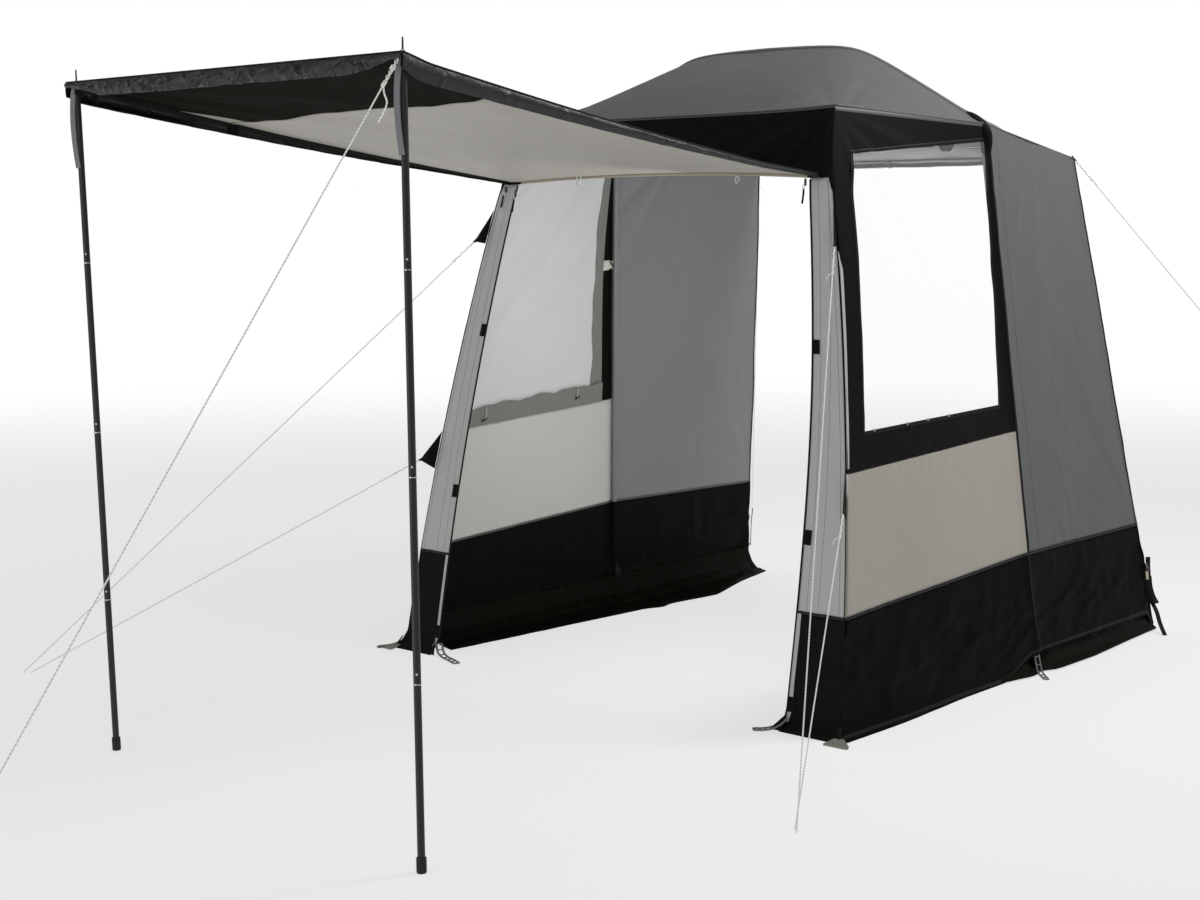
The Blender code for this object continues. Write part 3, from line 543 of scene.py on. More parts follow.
seamPale = ribbedMaterial("stitched seam tape, sand", "#9b978f", 0.55, 0.006, dark=0.85)
skirtPiping = ribbedMaterial("woven piping, slate", "#26272b", 0.55, 0.005, dark=0.7)
webBlack = ribbedMaterial("polypropylene webbing, black", "#131313", 0.60, 0.004, dark=0.6)
webGrey = ribbedMaterial("polypropylene webbing, grey", "#85868a", 0.60, 0.004, dark=0.75)
zipBlack = ribbedMaterial("nylon coil zip, black", "#0e0e0e", 0.40, 0.003, 0.6, dark=0.5)
hookTape = ribbedMaterial("hook and loop tape, black", "#0f0f0f", 0.90, 0.002, 0.8, dark=0.7)
# a 16-strand braid has a fleck every 2 mm; it is drawn at 11 mm, or the photograph's size would not show it
guyCord = ribbedMaterial("braided polyester cord, white", "#f6f6f3", 0.55, 0.011, 0.6, dark=0.60, share=0.24,
                         slant=0.7)
print("materials made:", len(bpy.data.materials))

# Side walls: one fine grid for each wall, folded as a whole and then cut into its panels

wallForm = {
    "rows": (26, 32, 5, 5, 60, 6, 11),       # steps between 0, the levels, and the door's top
    "columns": (8, 66, 8, 66),               # front stile, window, rear stile, rear half
    "poleRidge": 0.006,                      # how far the middle pole presses the cloth out
    "ridgeWidth": 0.020,
    "skirtLift": 0.070,                      # the skirt's lower edge hangs free behind the middle seam
    "liftFrom": 0.80, "liftFull": 1.00, "liftDrop": 1.93,
    "windowSink": 0.0005,
}


def roundCorner(grid, distance, outwards):
    # near the corner pole the cloth turns through a quarter circle: half of it belongs to each wall
    r = tentForm["cornerRound"]
    near = np.clip(distance, 0.0, r)
    start = r * (1.0 - math.sqrt(0.5))
    along = start + (r - start) * near / r
    sink = r - np.sqrt(np.maximum(0.0, r * r - (r - along) ** 2))
    return along - near, np.where(distance < r, sink, 0.0)


def kicked(z):
    # outwards by the square of the share below a low height
    return tentForm["kick"] * np.clip(1.0 - z / tentForm["kickHeight"], 0.0, 1.0) ** 2


def wallRows():
    levels = tentForm["frontLevels"]
    marks = (levels[0], levels[1], levels[2], levels[3], levels[4], tentForm["doorTop"], levels[5], levels[6])
    return stepsBetween(marks, wallForm["rows"])


def wallShares(heights):
    # the window's two edges lean, so every row has its own columns; the first ones are close for the corner
    levels = tentForm["frontLevels"]
    t = np.clip((heights - levels[4]) / (levels[5] - levels[4]), 0.0, 1.0)[:, None]
    front, rear = mix(*tentForm["windowFront"], t), mix(*tentForm["windowRear"], t)
    counts = wallForm["columns"]
    stile = np.concatenate([(0.0, 0.0025, 0.005, 0.0075, 0.011), np.linspace(0.02, 1.0, counts[0])[:-1] * 1.0])
    stile = np.sort(stile)
    corner = np.where(stile < 0.012, stile, stile * front)
    window = front + (rear - front) * np.linspace(0, 1, counts[1], endpoint=False)
    back = rear + (1.0 - rear) * np.linspace(0, 1, counts[2], endpoint=False)
    last = np.broadcast_to(np.linspace(1.0, 2.0, counts[3] + 1), (len(heights), counts[3] + 1))
    return np.concatenate([corner, window, back, last], 1), len(stile)


def wallFolds(share, u, v, side):
    # fine tension folds that the photograph shows, written on the distance from the corner and the height
    seed = 3 if side == "right" else 40
    slack = 0.0022 * ripple(u, v, seed, 0.9, 16) + 0.0005 * ripple(u, v, seed + 1, 0.16, 16)
    top = 0.0030 * fan(u, v, (0.02, 2.08), -0.9, 0.9, 16, 0.26, seed + 2)
    arch = 0.0030 * fan(u, v, (1.19, 2.04), -2.2, 0.8, 14, 0.22, seed + 3)
    rearTop = 0.0015 * fan(u, v, (1.24, 2.04), -1.3, 0.8, 9, 0.40, seed + 4)
    rearLow = 0.0030 * fan(u, v, (2.16, 0.45), 2.2, 1.0, 13, 0.55, seed + 5)
    lowEdge = 0.0020 * creases(u, v, seed + 6, 26, (0.15, 1.15, 0.78, 0.90), 0.10, 0.006, 1.3, 0.7)
    sill = 0.0016 * creases(u, v, seed + 7, 20, (0.15, 1.15, 0.87, 0.98), 0.05, 0.005, 1.1, 0.6)
    long = 0.0016 * creases(u, v, seed + 8, 16, (1.35, 2.15, 0.5, 1.5), 0.45, 0.012, 2.1, 0.5)
    tuck = 0.0020 * creases(u, v, seed + 9, 60, (0.05, 2.2, 0.30, 0.44), 0.06, 0.006, 1.5, 0.9)
    low = smooth(0.46, 0.30, v)
    crumple = low * (0.0035 * ripple(u, v, seed + 10, 0.40, 18) + 0.0015 * ripple(u, v, seed + 11, 0.12, 18))
    hang = 0.0035 * creases(u, v, seed + 12, 30, (0.1, 2.2, 0.05, 0.30), 0.22, 0.012, 0.25, 0.8) * low
    tied = 0.0018 * creases(u, v, seed + 13, 9, (1.22, 1.50, 0.75, 1.55), 0.22, 0.009, -0.95, 0.35)
    return slack + top + arch + rearTop + rearLow + lowEdge + sill + long + tuck + crumple + hang + tied


def wallGrid(side):
    heights = wallRows()
    shares, first = wallShares(heights)
    grid = wallPoint(shares, np.broadcast_to(heights[:, None], shares.shape))
    normals = gridNormals(grid)
    if (normals[..., 0].mean()) < 0.0:
        normals = -normals
    u, v = gridMetres(grid)
    shift, sink = roundCorner(grid, u, normals)
    ahead = unit(np.gradient(grid, axis=1))
    folded = wallFolds(shares, u, grid[..., 2], side)
    free = smooth(0.0, 0.05, u) * smooth(2.10, 2.02, grid[..., 2] + 0.025 * shares)
    free = free * (1.0 - 0.85 * np.exp(-((shares - 1.0) * 1.2 / 0.03) ** 2))
    grounded = smooth(0.0, 0.03, grid[..., 2])
    ridge = wallForm["poleRidge"] * np.exp(-((shares - 1.0) * 1.2 / wallForm["ridgeWidth"]) ** 2)
    ridge = ridge * smooth(2.04, 1.98, grid[..., 2])
    out = folded * free * mix(0.3, 1.0, grounded) + ridge
    out = np.maximum(out, -0.004 * np.ones_like(out))
    grid = grid + normals * (out - sink)[..., None] + ahead * shift[..., None]
    lifted = wallForm["skirtLift"] * smooth(wallForm["liftFrom"], wallForm["liftFull"], shares)
    lifted = lifted * smooth(2.0, wallForm["liftDrop"], shares)
    grid[..., 2] += lifted * smooth(0.30, 0.0, heights)[:, None]
    grid[..., 2] = np.maximum(grid[..., 2], 0.0)
    spread = kicked(heights)[:, None] * smooth(0.80, 0.10, shares)
    grid[..., 0] += spread
    grid[..., 1] -= spread * smooth(0.12, 0.0, u)
    return grid, normals, shares, heights, first


def wallMasks(heights, shares, first):
    # which cells belong to which panel
    levels, counts = tentForm["frontLevels"], wallForm["columns"]
    z = heights[:-1] + 1e-6
    column = np.arange(shares.shape[1] - 1)
    windowEnd, seam = first + counts[1], first + counts[1] + counts[2]
    skirt = (z < levels[1])[:, None] & (column >= 0)[None]
    lower = ((z >= levels[1]) & (z < levels[2]))[:, None] & (column < seam)[None]
    upper = (z >= levels[2])[:, None] & (column < seam)[None]
    glass = ((z >= levels[4]) & (z < levels[5]))[:, None] & ((column >= first) & (column < windowEnd))[None]
    rear = (z >= levels[1])[:, None] & (column >= seam)[None]
    return {"skirt": skirt, "lower_panel": lower, "window_frame": upper & ~glass, "window_pane": glass,
            "rear_panel": rear}


wallFinish = {
    # the outer faces of the skirt and the rear panel are darker copies of the black and the charcoal cloth: painted
    # shade
    "skirt": (skirtShadedOutside, blackInside, "black_ripstop"),
    "lower_panel": (beigeOutside, litBeigeInside, "beige_ripstop"),
    "window_frame": (blackOutside, blackInside, "black_ripstop"),
    "rear_panel": (rearShadedOutside, roofInside, "grey_ripstop"),
    "window_pane": (windowFilm, windowFilm, "clear_film"),
}


def buildWall(side):
    grid, normals, shares, heights, first = wallGrid(side)
    masks = wallMasks(heights, shares, first)
    placed = onSide(grid, side)
    metres = gridMetres(grid)
    for part, (outside, inside, slot) in wallFinish.items():
        name = side + "_" + part
        piece = clothPiece(name + "_cloth", placed, masks[part], outside, inside, metres)
        settle(piece, slot, name)
        declareCloth(piece, placed, masks[part])
    return {"grid": placed, "normals": onSide(normals, side), "heights": heights, "shares": shares, "first": first}


walls = {side: buildWall(side) for side in ("right", "left")}
print("side walls made")

# Front: the strips beside the doorway and the dark header over it

frontForm = {
    "stripColumns": 14,
    "headerRows": 26,
    "headerColumns": 150,
}


def stripGrid(side):
    # straight from the post line to the corner line on every row, turning round the corner pole at its end
    rows = wallRows()
    rows = rows[rows < tentForm["doorTop"] + 1e-6]
    share = np.concatenate([np.linspace(0.0, 0.90, frontForm["stripColumns"]), (0.93, 0.955, 0.975, 1.0)])
    height = np.broadcast_to(rows[:, None], (len(rows), len(share)))
    post, corner = postLine(height), cornerLine(height)
    if side == "right":
        post[..., 0] -= 0.027 * smooth(1.3, 0.0, height)   # pegged out a little further than the other one
    grid = post + (corner - post) * share[None, :, None]
    width = np.linalg.norm(corner - post, axis=-1)
    distance = width * (1.0 - share)
    shift, sink = roundCorner(grid, distance, None)
    u, v = gridMetres(grid)
    seed = 71 if side == "right" else 90
    folds = 0.0012 * ripple(u, v, seed, 0.25, 16) + 0.0025 * creases(
        u, v, seed + 1, 12, (0.03, 0.15, 0.2, 1.7), 0.35, 0.010, 1.5, 0.25)
    folds = folds * smooth(0.0, 0.02, distance) * smooth(0.0, 0.03, u) * smooth(0.0, 0.03, height)
    grid[..., 1] -= folds
    spread = kicked(height)
    grid[..., 1] += sink - spread
    grid[..., 0] += spread * smooth(0.12, 0.0, distance) - shift
    return onSide(grid, side), rows


def buildStrip(side):
    grid, rows = stripGrid(side)
    low = (rows[:-1] < tentForm["frontLevels"][1] - 1e-6)[:, None] & wholeMask(grid)
    for part, mask, finish in (("front_strip", ~low, (stripOutside, stripOutside, "silver_ripstop")),
                               ("strip_skirt", low, (blackOutside, blackInside, "black_ripstop"))):
        name = side + "_" + part
        piece = clothPiece(name + "_cloth", grid, mask, finish[0], finish[1])
        settle(piece, finish[2], name)
        declareCloth(piece, grid, mask)
    return grid


def headerGrid():
    s = np.linspace(-1.0, 1.0, frontForm["headerColumns"] + 1)
    s = np.sign(s) * (1.0 - (1.0 - np.abs(s)) ** 1.25)
    t = np.linspace(0.0, 1.0, frontForm["headerRows"] + 1)
    grid = headerPoint(s[None, :], t[:, None])
    corner = cornerLine(grid[..., 2])[..., 0]
    distance = corner - np.abs(grid[..., 0])
    shift, sink = roundCorner(grid, distance, None)
    x, z = grid[..., 0], grid[..., 2]
    folds = 0.0030 * fan(x, z, (0.73, 2.08), -2.35, 1.0, 15, 0.22, 11)
    folds += 0.0030 * fan(-x, z, (0.73, 2.08), -2.35, 1.0, 15, 0.22, 12)
    folds += 0.0015 * ripple(x, z, 13, 0.35, 16)
    folds += 0.0022 * creases(x, z, 14, 30, (-0.65, 0.65, 1.90, 2.06), 0.22, 0.010, 0.1, 0.7)
    folds = folds * smooth(0.0, 0.03, distance) * smooth(1.0, 0.85, t)[:, None] * smooth(0.0, 0.15, t)[:, None]
    grid[..., 1] += sink - np.clip(folds, -0.004, 0.008)
    grid[..., 0] -= np.sign(x) * shift
    return grid


strips = {side: buildStrip(side) for side in ("right", "left")}
header = headerGrid()
headerCloth = clothPiece("front_header_cloth", header, wholeMask(header), blackOutside, blackInside)
settle(headerCloth, "black_ripstop", "front_header")
declareCloth(headerCloth, header, wholeMask(header))
print("front made")

# Roof: front and rear sheets that meet on the arch

roofForm = {
    "columns": 150,
    "frontRows": 60,
    "rearRows": 56,
    "sleeveRise": 0.005,     # the arch pole's sleeve stands proud of the sheets
    "sleeveWidth": 0.016,
}


def roofColumns():
    s = np.linspace(-1.0, 1.0, roofForm["columns"] + 1)
    return np.sign(s) * (1.0 - (1.0 - np.abs(s)) ** 1.15)


def roofFrontGrid():
    s, t = roofColumns()[None, :], np.linspace(0.0, 1.0, roofForm["frontRows"] + 1)[:, None]
    a, b = frontEdge(s), archPoint(s)
    grid = a + (b - a) * t[..., None]
    grid[..., 2] += np.sin(math.pi * t) * (tentForm["roofBulge"] * (1.0 - s * s)
                                           + 0.014 * smooth(-0.4, -0.8, s) * smooth(-1.0, -0.93, s))
    x, y = grid[..., 0], grid[..., 1]
    folds = 0.0020 * fan(x, y, (0.74, 0.42), 1.9, 0.95, 13, 0.20, 21)
    folds += 0.0020 * fan(-x, y, (0.74, 0.42), 1.9, 0.95, 13, 0.20, 22)
    folds += 0.0020 * creases(x, y, 23, 24, (-0.6, 0.6, 0.42, 0.56), 0.10, 0.008, 1.57, 0.7)
    folds += 0.0025 * ripple(x, y, 24, 0.8, 14) + 0.0004 * ripple(x, y, 25, 0.14, 14)
    folds += 0.0030 * creases(x, y, 26, 8, (0.45, 0.72, 0.6, 1.1), 0.30, 0.016, 1.2, 0.5)
    held = smooth(0.0, 0.06, t) * smooth(1.0, 0.95, t) * smooth(1.0, 0.97, np.abs(s))
    sleeve = roofForm["sleeveRise"] * np.exp(-((1.0 - t) * 0.75 / roofForm["sleeveWidth"]) ** 2)
    sleeve = sleeve * smooth(1.0, 0.93, np.abs(s))
    return lift(grid, roofSign(grid) * (folds * held + sleeve))


def roofSign(grid):
    # +1 where the grid's normals already point up
    return 1.0 if gridNormals(grid)[..., 2].mean() > 0.0 else -1.0


def roofRearGrid():
    s, t = roofColumns()[None, :], np.linspace(0.0, 1.0, roofForm["rearRows"] + 1)[:, None]
    a, b = archPoint(s), rearEdge(s)
    grid = a + (b - a) * t[..., None]
    x, y = grid[..., 0], grid[..., 1]
    folds = 0.0030 * fan(x, y, (0.86, 1.2), 1.9, 1.0, 9, 0.30, 31) + 0.0030 * fan(-x, y, (0.86, 1.2), 1.9, 1.0, 9, 0.30, 32)
    folds += 0.0025 * ripple(x, y, 33, 0.7, 14) + 0.0004 * ripple(x, y, 34, 0.14, 14)
    folds += 0.0020 * creases(x, y, 35, 14, (-0.7, 0.7, 1.3, 1.95), 0.35, 0.014, 1.5, 0.6)
    held = smooth(0.0, 0.05, t) * smooth(1.0, 0.95, t) * smooth(1.0, 0.97, np.abs(s))
    sleeve = roofForm["sleeveRise"] * np.exp(-(t * 0.85 / roofForm["sleeveWidth"]) ** 2)
    sleeve = sleeve * smooth(1.0, 0.93, np.abs(s))
    return lift(grid, roofSign(grid) * (folds * held + sleeve))


roofFront, roofRear = roofFrontGrid(), roofRearGrid()
# both sheets end on the same arch line
arch = (roofFront[-1] + roofRear[0]) / 2
roofFront[-1], roofRear[0] = arch, arch
for name, grid in (("roof_front_panel", roofFront), ("roof_rear_panel", roofRear)):
    piece = clothPiece(name + "_cloth", grid, wholeMask(grid), roofOutside, roofInside)
    settle(piece, "grey_ripstop", name)
    declareCloth(piece, grid, wholeMask(grid))
print("roof made")

# Canopy: the raised door panel, sand near the tent and black at its outer end

canopyForm = {
    "frontY": -1.632, "frontZ": 2.158, "half": 0.798, "sag": 0.015, "seam": 0.70,
    "lift": 0.010, "proud": 0.0009,
    "nearSag": 0.009, "hemRear": 0.012, "hemFront": 0.058, "hemPower": 1.3, "valance": 0.046,
    "rows": (84, 40), "columns": 100,
}


def canopyPoint(q, t):
    # straight from the header to the front edge, with one long shallow sag
    edgeX = (postLine(tentForm["doorTop"])[0] + cornerLine(tentForm["doorTop"])[0]) / 2
    inner = np.clip(np.abs(q) * edgeX / postLine(tentForm["doorTop"])[0], 0.0, 1.0)
    z = tentForm["doorTop"] + tentForm["doorRise"] * (1.0 - inner ** 2) + canopyForm["lift"]
    rear = xyz(q * edgeX, frontY(z) - canopyForm["proud"], z)
    front = xyz(q * canopyForm["half"], canopyForm["frontY"], canopyForm["frontZ"])
    point = rear + (front - rear) * t[..., None]
    point[..., 2] -= canopyForm["sag"] * np.sin(math.pi * t)
    point[..., 2] -= canopyForm["nearSag"] * smooth(0.3, 1.0, q) * smooth(1.0, 0.94, t) * smooth(0.0, 0.2, t)
    return point


def canopyGrid():
    q = np.linspace(-1.0, 1.0, canopyForm["columns"] + 1)[None, :]
    t = stepsBetween((0.0, canopyForm["seam"], 1.0), canopyForm["rows"])[:, None]
    # the seam runs a little askew, nearer to the front edge on the right
    seam, askew = canopyForm["seam"], 0.695 + 0.02 * q + 0.055 * np.maximum(q, 0.0) ** 2
    t = np.where(t <= seam, t * askew / seam, 1.0 - (1.0 - t) * (1.0 - askew) / (1.0 - seam))
    grid = canopyPoint(*np.broadcast_arrays(q, t))
    x, y = grid[..., 0], grid[..., 1]
    edge = smooth(1.0, 0.94, np.abs(q)) * smooth(0.0, 0.04, t) * smooth(1.0, 0.97, t)
    folds = 0.0030 * ripple(x, y, 51, 1.1, 14) + 0.0006 * ripple(x, y, 52, 0.20, 14)
    folds += 0.0045 * fan(x, y, (0.78, -1.6), 2.3, 0.9, 9, 0.45, 53) + 0.0045 * fan(-x, y, (0.78, -1.6), 2.3, 0.9, 9, 0.45, 54)
    folds += 0.0025 * fan(x, y, (0.74, 0.3), -2.3, 0.9, 11, 0.30, 55) + 0.0025 * fan(-x, y, (0.74, 0.3), -2.3, 0.9, 11, 0.30, 56)
    grid[..., 2] += folds * edge
    return grid


def gathered(u, v, seed, depth):
    # cloth drawn up on a cord: crumples that slant across the band, long ones over a net of short ones
    area = (u.min(), u.max(), v.min(), v.max())
    count = int((area[1] - area[0]) / 0.045)
    long = creases(u, v, seed, count, area, 0.060, 0.0085, 0.7, 1.1) + creases(u, v, seed + 1, count // 2, area, 0.045,
                                                                                0.008, -0.8, 0.9)
    return depth * (long + 0.55 * creases(u, v, seed + 2, 3 * count, area, 0.020, 0.0055) + 0.25 * ripple(u, v, seed, 0.3, 12))


hemColumns = (300, 140)


def hemGrid(side):
    # hangs from the canopy's side edge, deeper towards the pole, drawn up in small folds
    t = stepsBetween((0.0, canopyForm["seam"], 1.0), hemColumns)[None, :]
    w = np.linspace(0.0, 1.0, 13)[:, None]
    one = np.ones_like(t)
    top = onSide(canopyPoint(one if side == "right" else -one, t), side)
    depth = mix(canopyForm["hemRear"], canopyForm["hemFront"], t ** canopyForm["hemPower"])
    depth = mix(depth, canopyForm["valance"], smooth(0.97, 1.0, t))
    grid = np.repeat(top, len(w), 0)
    grid[..., 2] -= w * depth
    grid[..., 0] += 0.004 * np.sin(w * math.pi) * one
    u, v = grid[..., 1], grid[..., 2]
    seed = 61 if side == "right" else 65
    crush = gathered(u, v, seed, 0.0026) * smooth(0.1, 0.5, w) * smooth(0.0, 0.05, t)
    grid[..., 0] += crush
    grid[..., 2] += 0.0006 * ripple(u, u, seed + 3, 0.30, 16) * w
    return onSide(grid, side)


def valanceGrid():
    # the front edge's band, crushed where the cord in it is drawn tight
    q = np.linspace(-1.0, 1.0, 421)[None, :]
    w = np.linspace(0.0, 1.0, 19)[:, None]
    top = canopyPoint(q, np.ones_like(q))
    grid = np.repeat(top, len(w), 0)
    grid[..., 2] -= w * mix(0.016, 0.050, smooth(1.0, 0.72, np.abs(q)))
    u, v = grid[..., 0], grid[..., 2]
    crush = gathered(u, v, 81, 0.0062) * smooth(0.0, 0.25, w) * smooth(1.0, 0.95, np.abs(q))
    grid[..., 1] -= crush + 0.006 * np.sin(w * math.pi)
    grid[..., 2] += 0.0015 * ripple(u, u, 84, 0.30, 16) * w
    return grid


canopy = canopyGrid()
canopyRow = np.arange(canopy.shape[0] - 1)[:, None]
innerMask = (canopyRow < canopyForm["rows"][0]) & wholeMask(canopy)
belowCanopy = np.array((0.0, -0.7, 0.6))
inner = clothPiece("canopy_inner_cloth", canopy, innerMask, beigeOutside, canopyUnderGlow, away=belowCanopy)
outer = clothPiece("canopy_outer_cloth", canopy, ~innerMask, blackOutside, blackCanopyUnderLit, away=belowCanopy)
settle(inner, "beige_ripstop", "canopy_inner_panel")
settle(outer, "black_ripstop", "canopy_outer_panel")
declareCloth(inner, canopy, innerMask)
declareCloth(outer, canopy, ~innerMask)
hems = {}
for side in ("right", "left"):
    hems[side] = hemGrid(side)
    piece = clothPiece(side + "_canopy_hem_cloth", hems[side], wholeMask(hems[side]), blackCrinkled,
                       blackCrinkled, away=belowCanopy)
    settle(piece, "black_ripstop", side + "_canopy_hem")
    declareCloth(piece, hems[side], wholeMask(hems[side]))
valance = valanceGrid()
piece = clothPiece("canopy_valance_cloth", valance, wholeMask(valance), blackCrinkled, blackCrinkled,
                   away=belowCanopy)
settle(piece, "black_ripstop", "canopy_valance")
declareCloth(piece, valance, wholeMask(valance))
print("canopy made")

# Curtain inside the left window

curtainForm = {
    "depth": 0.0046,      # inwards of the wall's outer face
    "hem": 0.050,
    "wave": 0.0060, "bow": 0.040,
    "thick": 0.0008,
}


def curtainBow(t):
    # the rear edge is slack and bows forward, most a little above the middle
    return curtainForm["bow"] * np.sin(math.pi * t ** 1.2)


def curtainGrid(side):
    # follows the wall between the window's edges and hangs a little slack
    low, high = tentForm["frontLevels"][2], tentForm["frontLevels"][5] + 0.04
    heights = np.linspace(low, high, 96)
    levels = tentForm["frontLevels"]
    t = np.clip((heights - levels[4]) / (levels[5] - levels[4]), 0.0, 1.0)[:, None]
    front, rear = mix(*tentForm["windowFront"], t), mix(*tentForm["windowRear"], t)
    rear = rear - curtainBow(t)
    share = front + (rear - front) * np.linspace(0.0, 1.0, 84)[None, :]
    grid = wallPoint(share, np.broadcast_to(heights[:, None], share.shape))
    normals = gridNormals(grid)
    normals = normals * np.sign(normals[..., 0].mean())
    u, v = gridMetres(grid)
    # folds run up from the front of the sill to the rear of the top, flatter towards the edges
    slant = u * 0.80 - v * 0.60 + 0.03 * np.sin(v * 5.0)
    folds = curtainForm["wave"] * (np.sin(slant * 2 * math.pi / 0.34 + 1.0) + 0.4 * np.sin(slant * 2 * math.pi / 0.13) - 0.9
                                   + 0.35 * ripple(u, v, 101, 0.5, 14))
    folds = np.clip(folds, -0.016, 0.0012) * smooth(0.0, 0.10, share - front) * smooth(0.0, 0.10, rear - share) * smooth(0.09, 0.22, v)
    sink = curtainForm["depth"] + 0.0012 - folds
    return onSide(grid - normals * sink[..., None], side)


curtain = curtainGrid("left")
curtainMask = wholeMask(curtain)
curtainPiece = clothPiece("left_curtain_cloth", curtain, curtainMask, curtainCloth, curtainCloth,
                          thick=curtainForm["thick"])
settle(curtainPiece, "curtain_cloth", "left_curtain")
declareCloth(curtainPiece, curtain, curtainMask)
print("curtain made")

# Places on the folded cloth, for what is sewn or clipped to it


def surface(grid, upMarks, acrossMarks, away=insideTent):
    # gives the place at (across, up), joined straight between the grid's points, and out metres along its normal
    normals = gridNormals(grid)
    normals = normals * math.copysign(1.0, ((grid - away) * normals).sum())

    def at(across, up, out=0.0):
        across, up, out = np.broadcast_arrays(np.asarray(across, float), up, out)
        row = np.interp(up, upMarks, np.arange(len(upMarks)))
        column = np.interp(across, acrossMarks, np.arange(len(acrossMarks)))
        r, c = np.minimum(row.astype(int), len(upMarks) - 2), np.minimum(column.astype(int), len(acrossMarks) - 2)
        high, right = (row - r)[..., None], (column - c)[..., None]

        def between(values):
            return mix(mix(values[r, c], values[r, c + 1], right), mix(values[r + 1, c], values[r + 1, c + 1], right),
                       high)

        return between(grid) + unit(between(normals)) * out[..., None]

    return at


def span(low, high, count=100):
    return np.linspace(low, high, count)


def sewn(name, at, across, up, profile, material, slot, out=0.0):
    # a profile carried along a line on the cloth, its second axis square to the cloth
    across, up = np.broadcast_arrays(np.asarray(across, float), np.asarray(up, float))
    path = at(across, up, out)
    return settle(sweep(name, path, profile, material, at(across, up, out + 1.0) - path), slot)


def patch(name, at, across, up, material, slot, out=0.0012, away=insideTent, thick=0.0010):
    # a small piece of cloth that lies on another
    grid = at(*np.broadcast_arrays(across, up), out)
    piece = clothPiece(name, grid, wholeMask(grid), material, material, thick=thick, away=away)
    declareCloth(settle(piece, slot), grid, wholeMask(grid))
    return piece


def bar(name, start, end, width, thick, material, slot, up=(0.0, 0.0, 1.0)):
    # a short block from start to end
    path = mix(np.array(start, float), np.array(end, float), span(0, 1, 3)[:, None])
    return settle(sweep(name, path, bandProfile(width, thick), material, up), slot)


def wireRing(name, centre, first, second, radius, material, slot):
    # a closed loop of wire: centre + first cos + second sin
    turn = span(0, 2 * math.pi, 29)[:-1, None]
    first, second = np.array(first, float), np.array(second, float)
    path = np.array(centre, float) + first * np.cos(turn) + second * np.sin(turn)
    return settle(sweep(name, path, roundProfile(radius, 8), material, np.cross(first, second), loop=True), slot)


def smoothPath(points, count=40):
    # a smooth curve through a few points: each coordinate a cubic of the distance along them
    points = np.array(points, float)
    along = np.concatenate([[0.0], np.cumsum(np.linalg.norm(np.diff(points, axis=0), axis=1))])
    slopes = np.gradient(points, along, axis=0)
    place = span(0.0, along[-1], count)
    i = np.minimum(np.searchsorted(along, place, "right") - 1, len(points) - 2)
    step = (along[i + 1] - along[i])[:, None]
    t = (place - along[i])[:, None] / step
    return ((2 * t ** 3 - 3 * t ** 2 + 1) * points[i] + (t ** 3 - 2 * t ** 2 + t) * step * slopes[i]
            + (3 * t ** 2 - 2 * t ** 3) * points[i + 1] + (t ** 3 - t ** 2) * step * slopes[i + 1])


# Seams, piping and patches on the walls

darkSeamAndShadeLine = ribbedMaterial("lockstitched seam, dark", "#2a2b2b", 0.6, 0.005, dark=0.7)
stitchGrey = ribbedMaterial("lockstitched hem, silver grey", "#8a8b89", 0.6, 0.004, dark=0.85)
roofTape = clothMaterial("polyester binding, charcoal", "#505151", 0.50)
beigeTape = clothMaterial("polyester binding, sand", "#a8a08f", 0.55, thread=0.0)
level = tentForm["frontLevels"]
wallColumns = wallForm["columns"]


def wallMarks(first):
    # the wall's columns as 0 at the corner, 1 and 2 at the window's edges, 3 at the middle seam, 4 at the rear edge
    front = np.sort(np.concatenate([(0.0, 0.0025, 0.005, 0.0075, 0.011), span(0.02, 1.0, wallColumns[0])[:-1]]))
    parts = [n + np.arange(c) / c for n, c in zip((1, 2, 3), wallColumns[1:])]
    return np.concatenate([front] + parts + [(4.0,)])


# name, across, up, width, thickness, material, slot, out from the outer face
wallSeams = (
    ("skirt_piping", span(0.0, 4.0, 260), level[1], 0.010, 0.0030, skirtPiping, "grey_ripstop", 0.0012),
    ("skirt_tape", span(0.3, 3.98, 240), level[1], 0.009, 0.0020, seamGrey, "grey_ripstop", -0.0018),
    ("sill_seam", span(0.02, 3.0, 160), level[2], 0.005, 0.0012, seamBlack, "black_ripstop", 0.0004),
    ("middle_seam", 3.0, span(level[1], 2.07, 140), 0.007, 0.0014, darkSeamAndShadeLine, "grey_ripstop", 0.0006),
    ("skirt_seam", 3.0, span(0.06, level[1], 60), 0.004, 0.0012, darkSeamAndShadeLine, "black_ripstop", 0.0003),
    ("skirt_hem", span(0.02, 3.98, 240), 0.014, 0.012, 0.0014, seamBlack, "black_ripstop", 0.0003),
    ("window_hem_low", span(0.95, 2.1, 90), level[4], 0.014, 0.0014, seamBlack, "black_ripstop", 0.0005),
    ("window_hem_high", span(0.95, 2.1, 90), level[5], 0.014, 0.0014, seamBlack, "black_ripstop", 0.0005),
    ("window_hem_front", 1.0, span(level[4], level[5], 90), 0.014, 0.0014, seamBlack, "black_ripstop", 0.0005),
    ("window_hem_rear", 2.0, span(level[4], level[5], 90), 0.012, 0.0014, seamBlack, "black_ripstop", 0.0005),
    ("eave_binding", span(0.02, 3.0, 160), 2.088, 0.016, 0.0014, roofTape, "grey_ripstop", 0.0006),
    ("rear_panel_stitch", 3.10, span(level[1], 2.05, 120), 0.0016, 0.0008, seamGrey, "grey_ripstop", 0.0002),
)


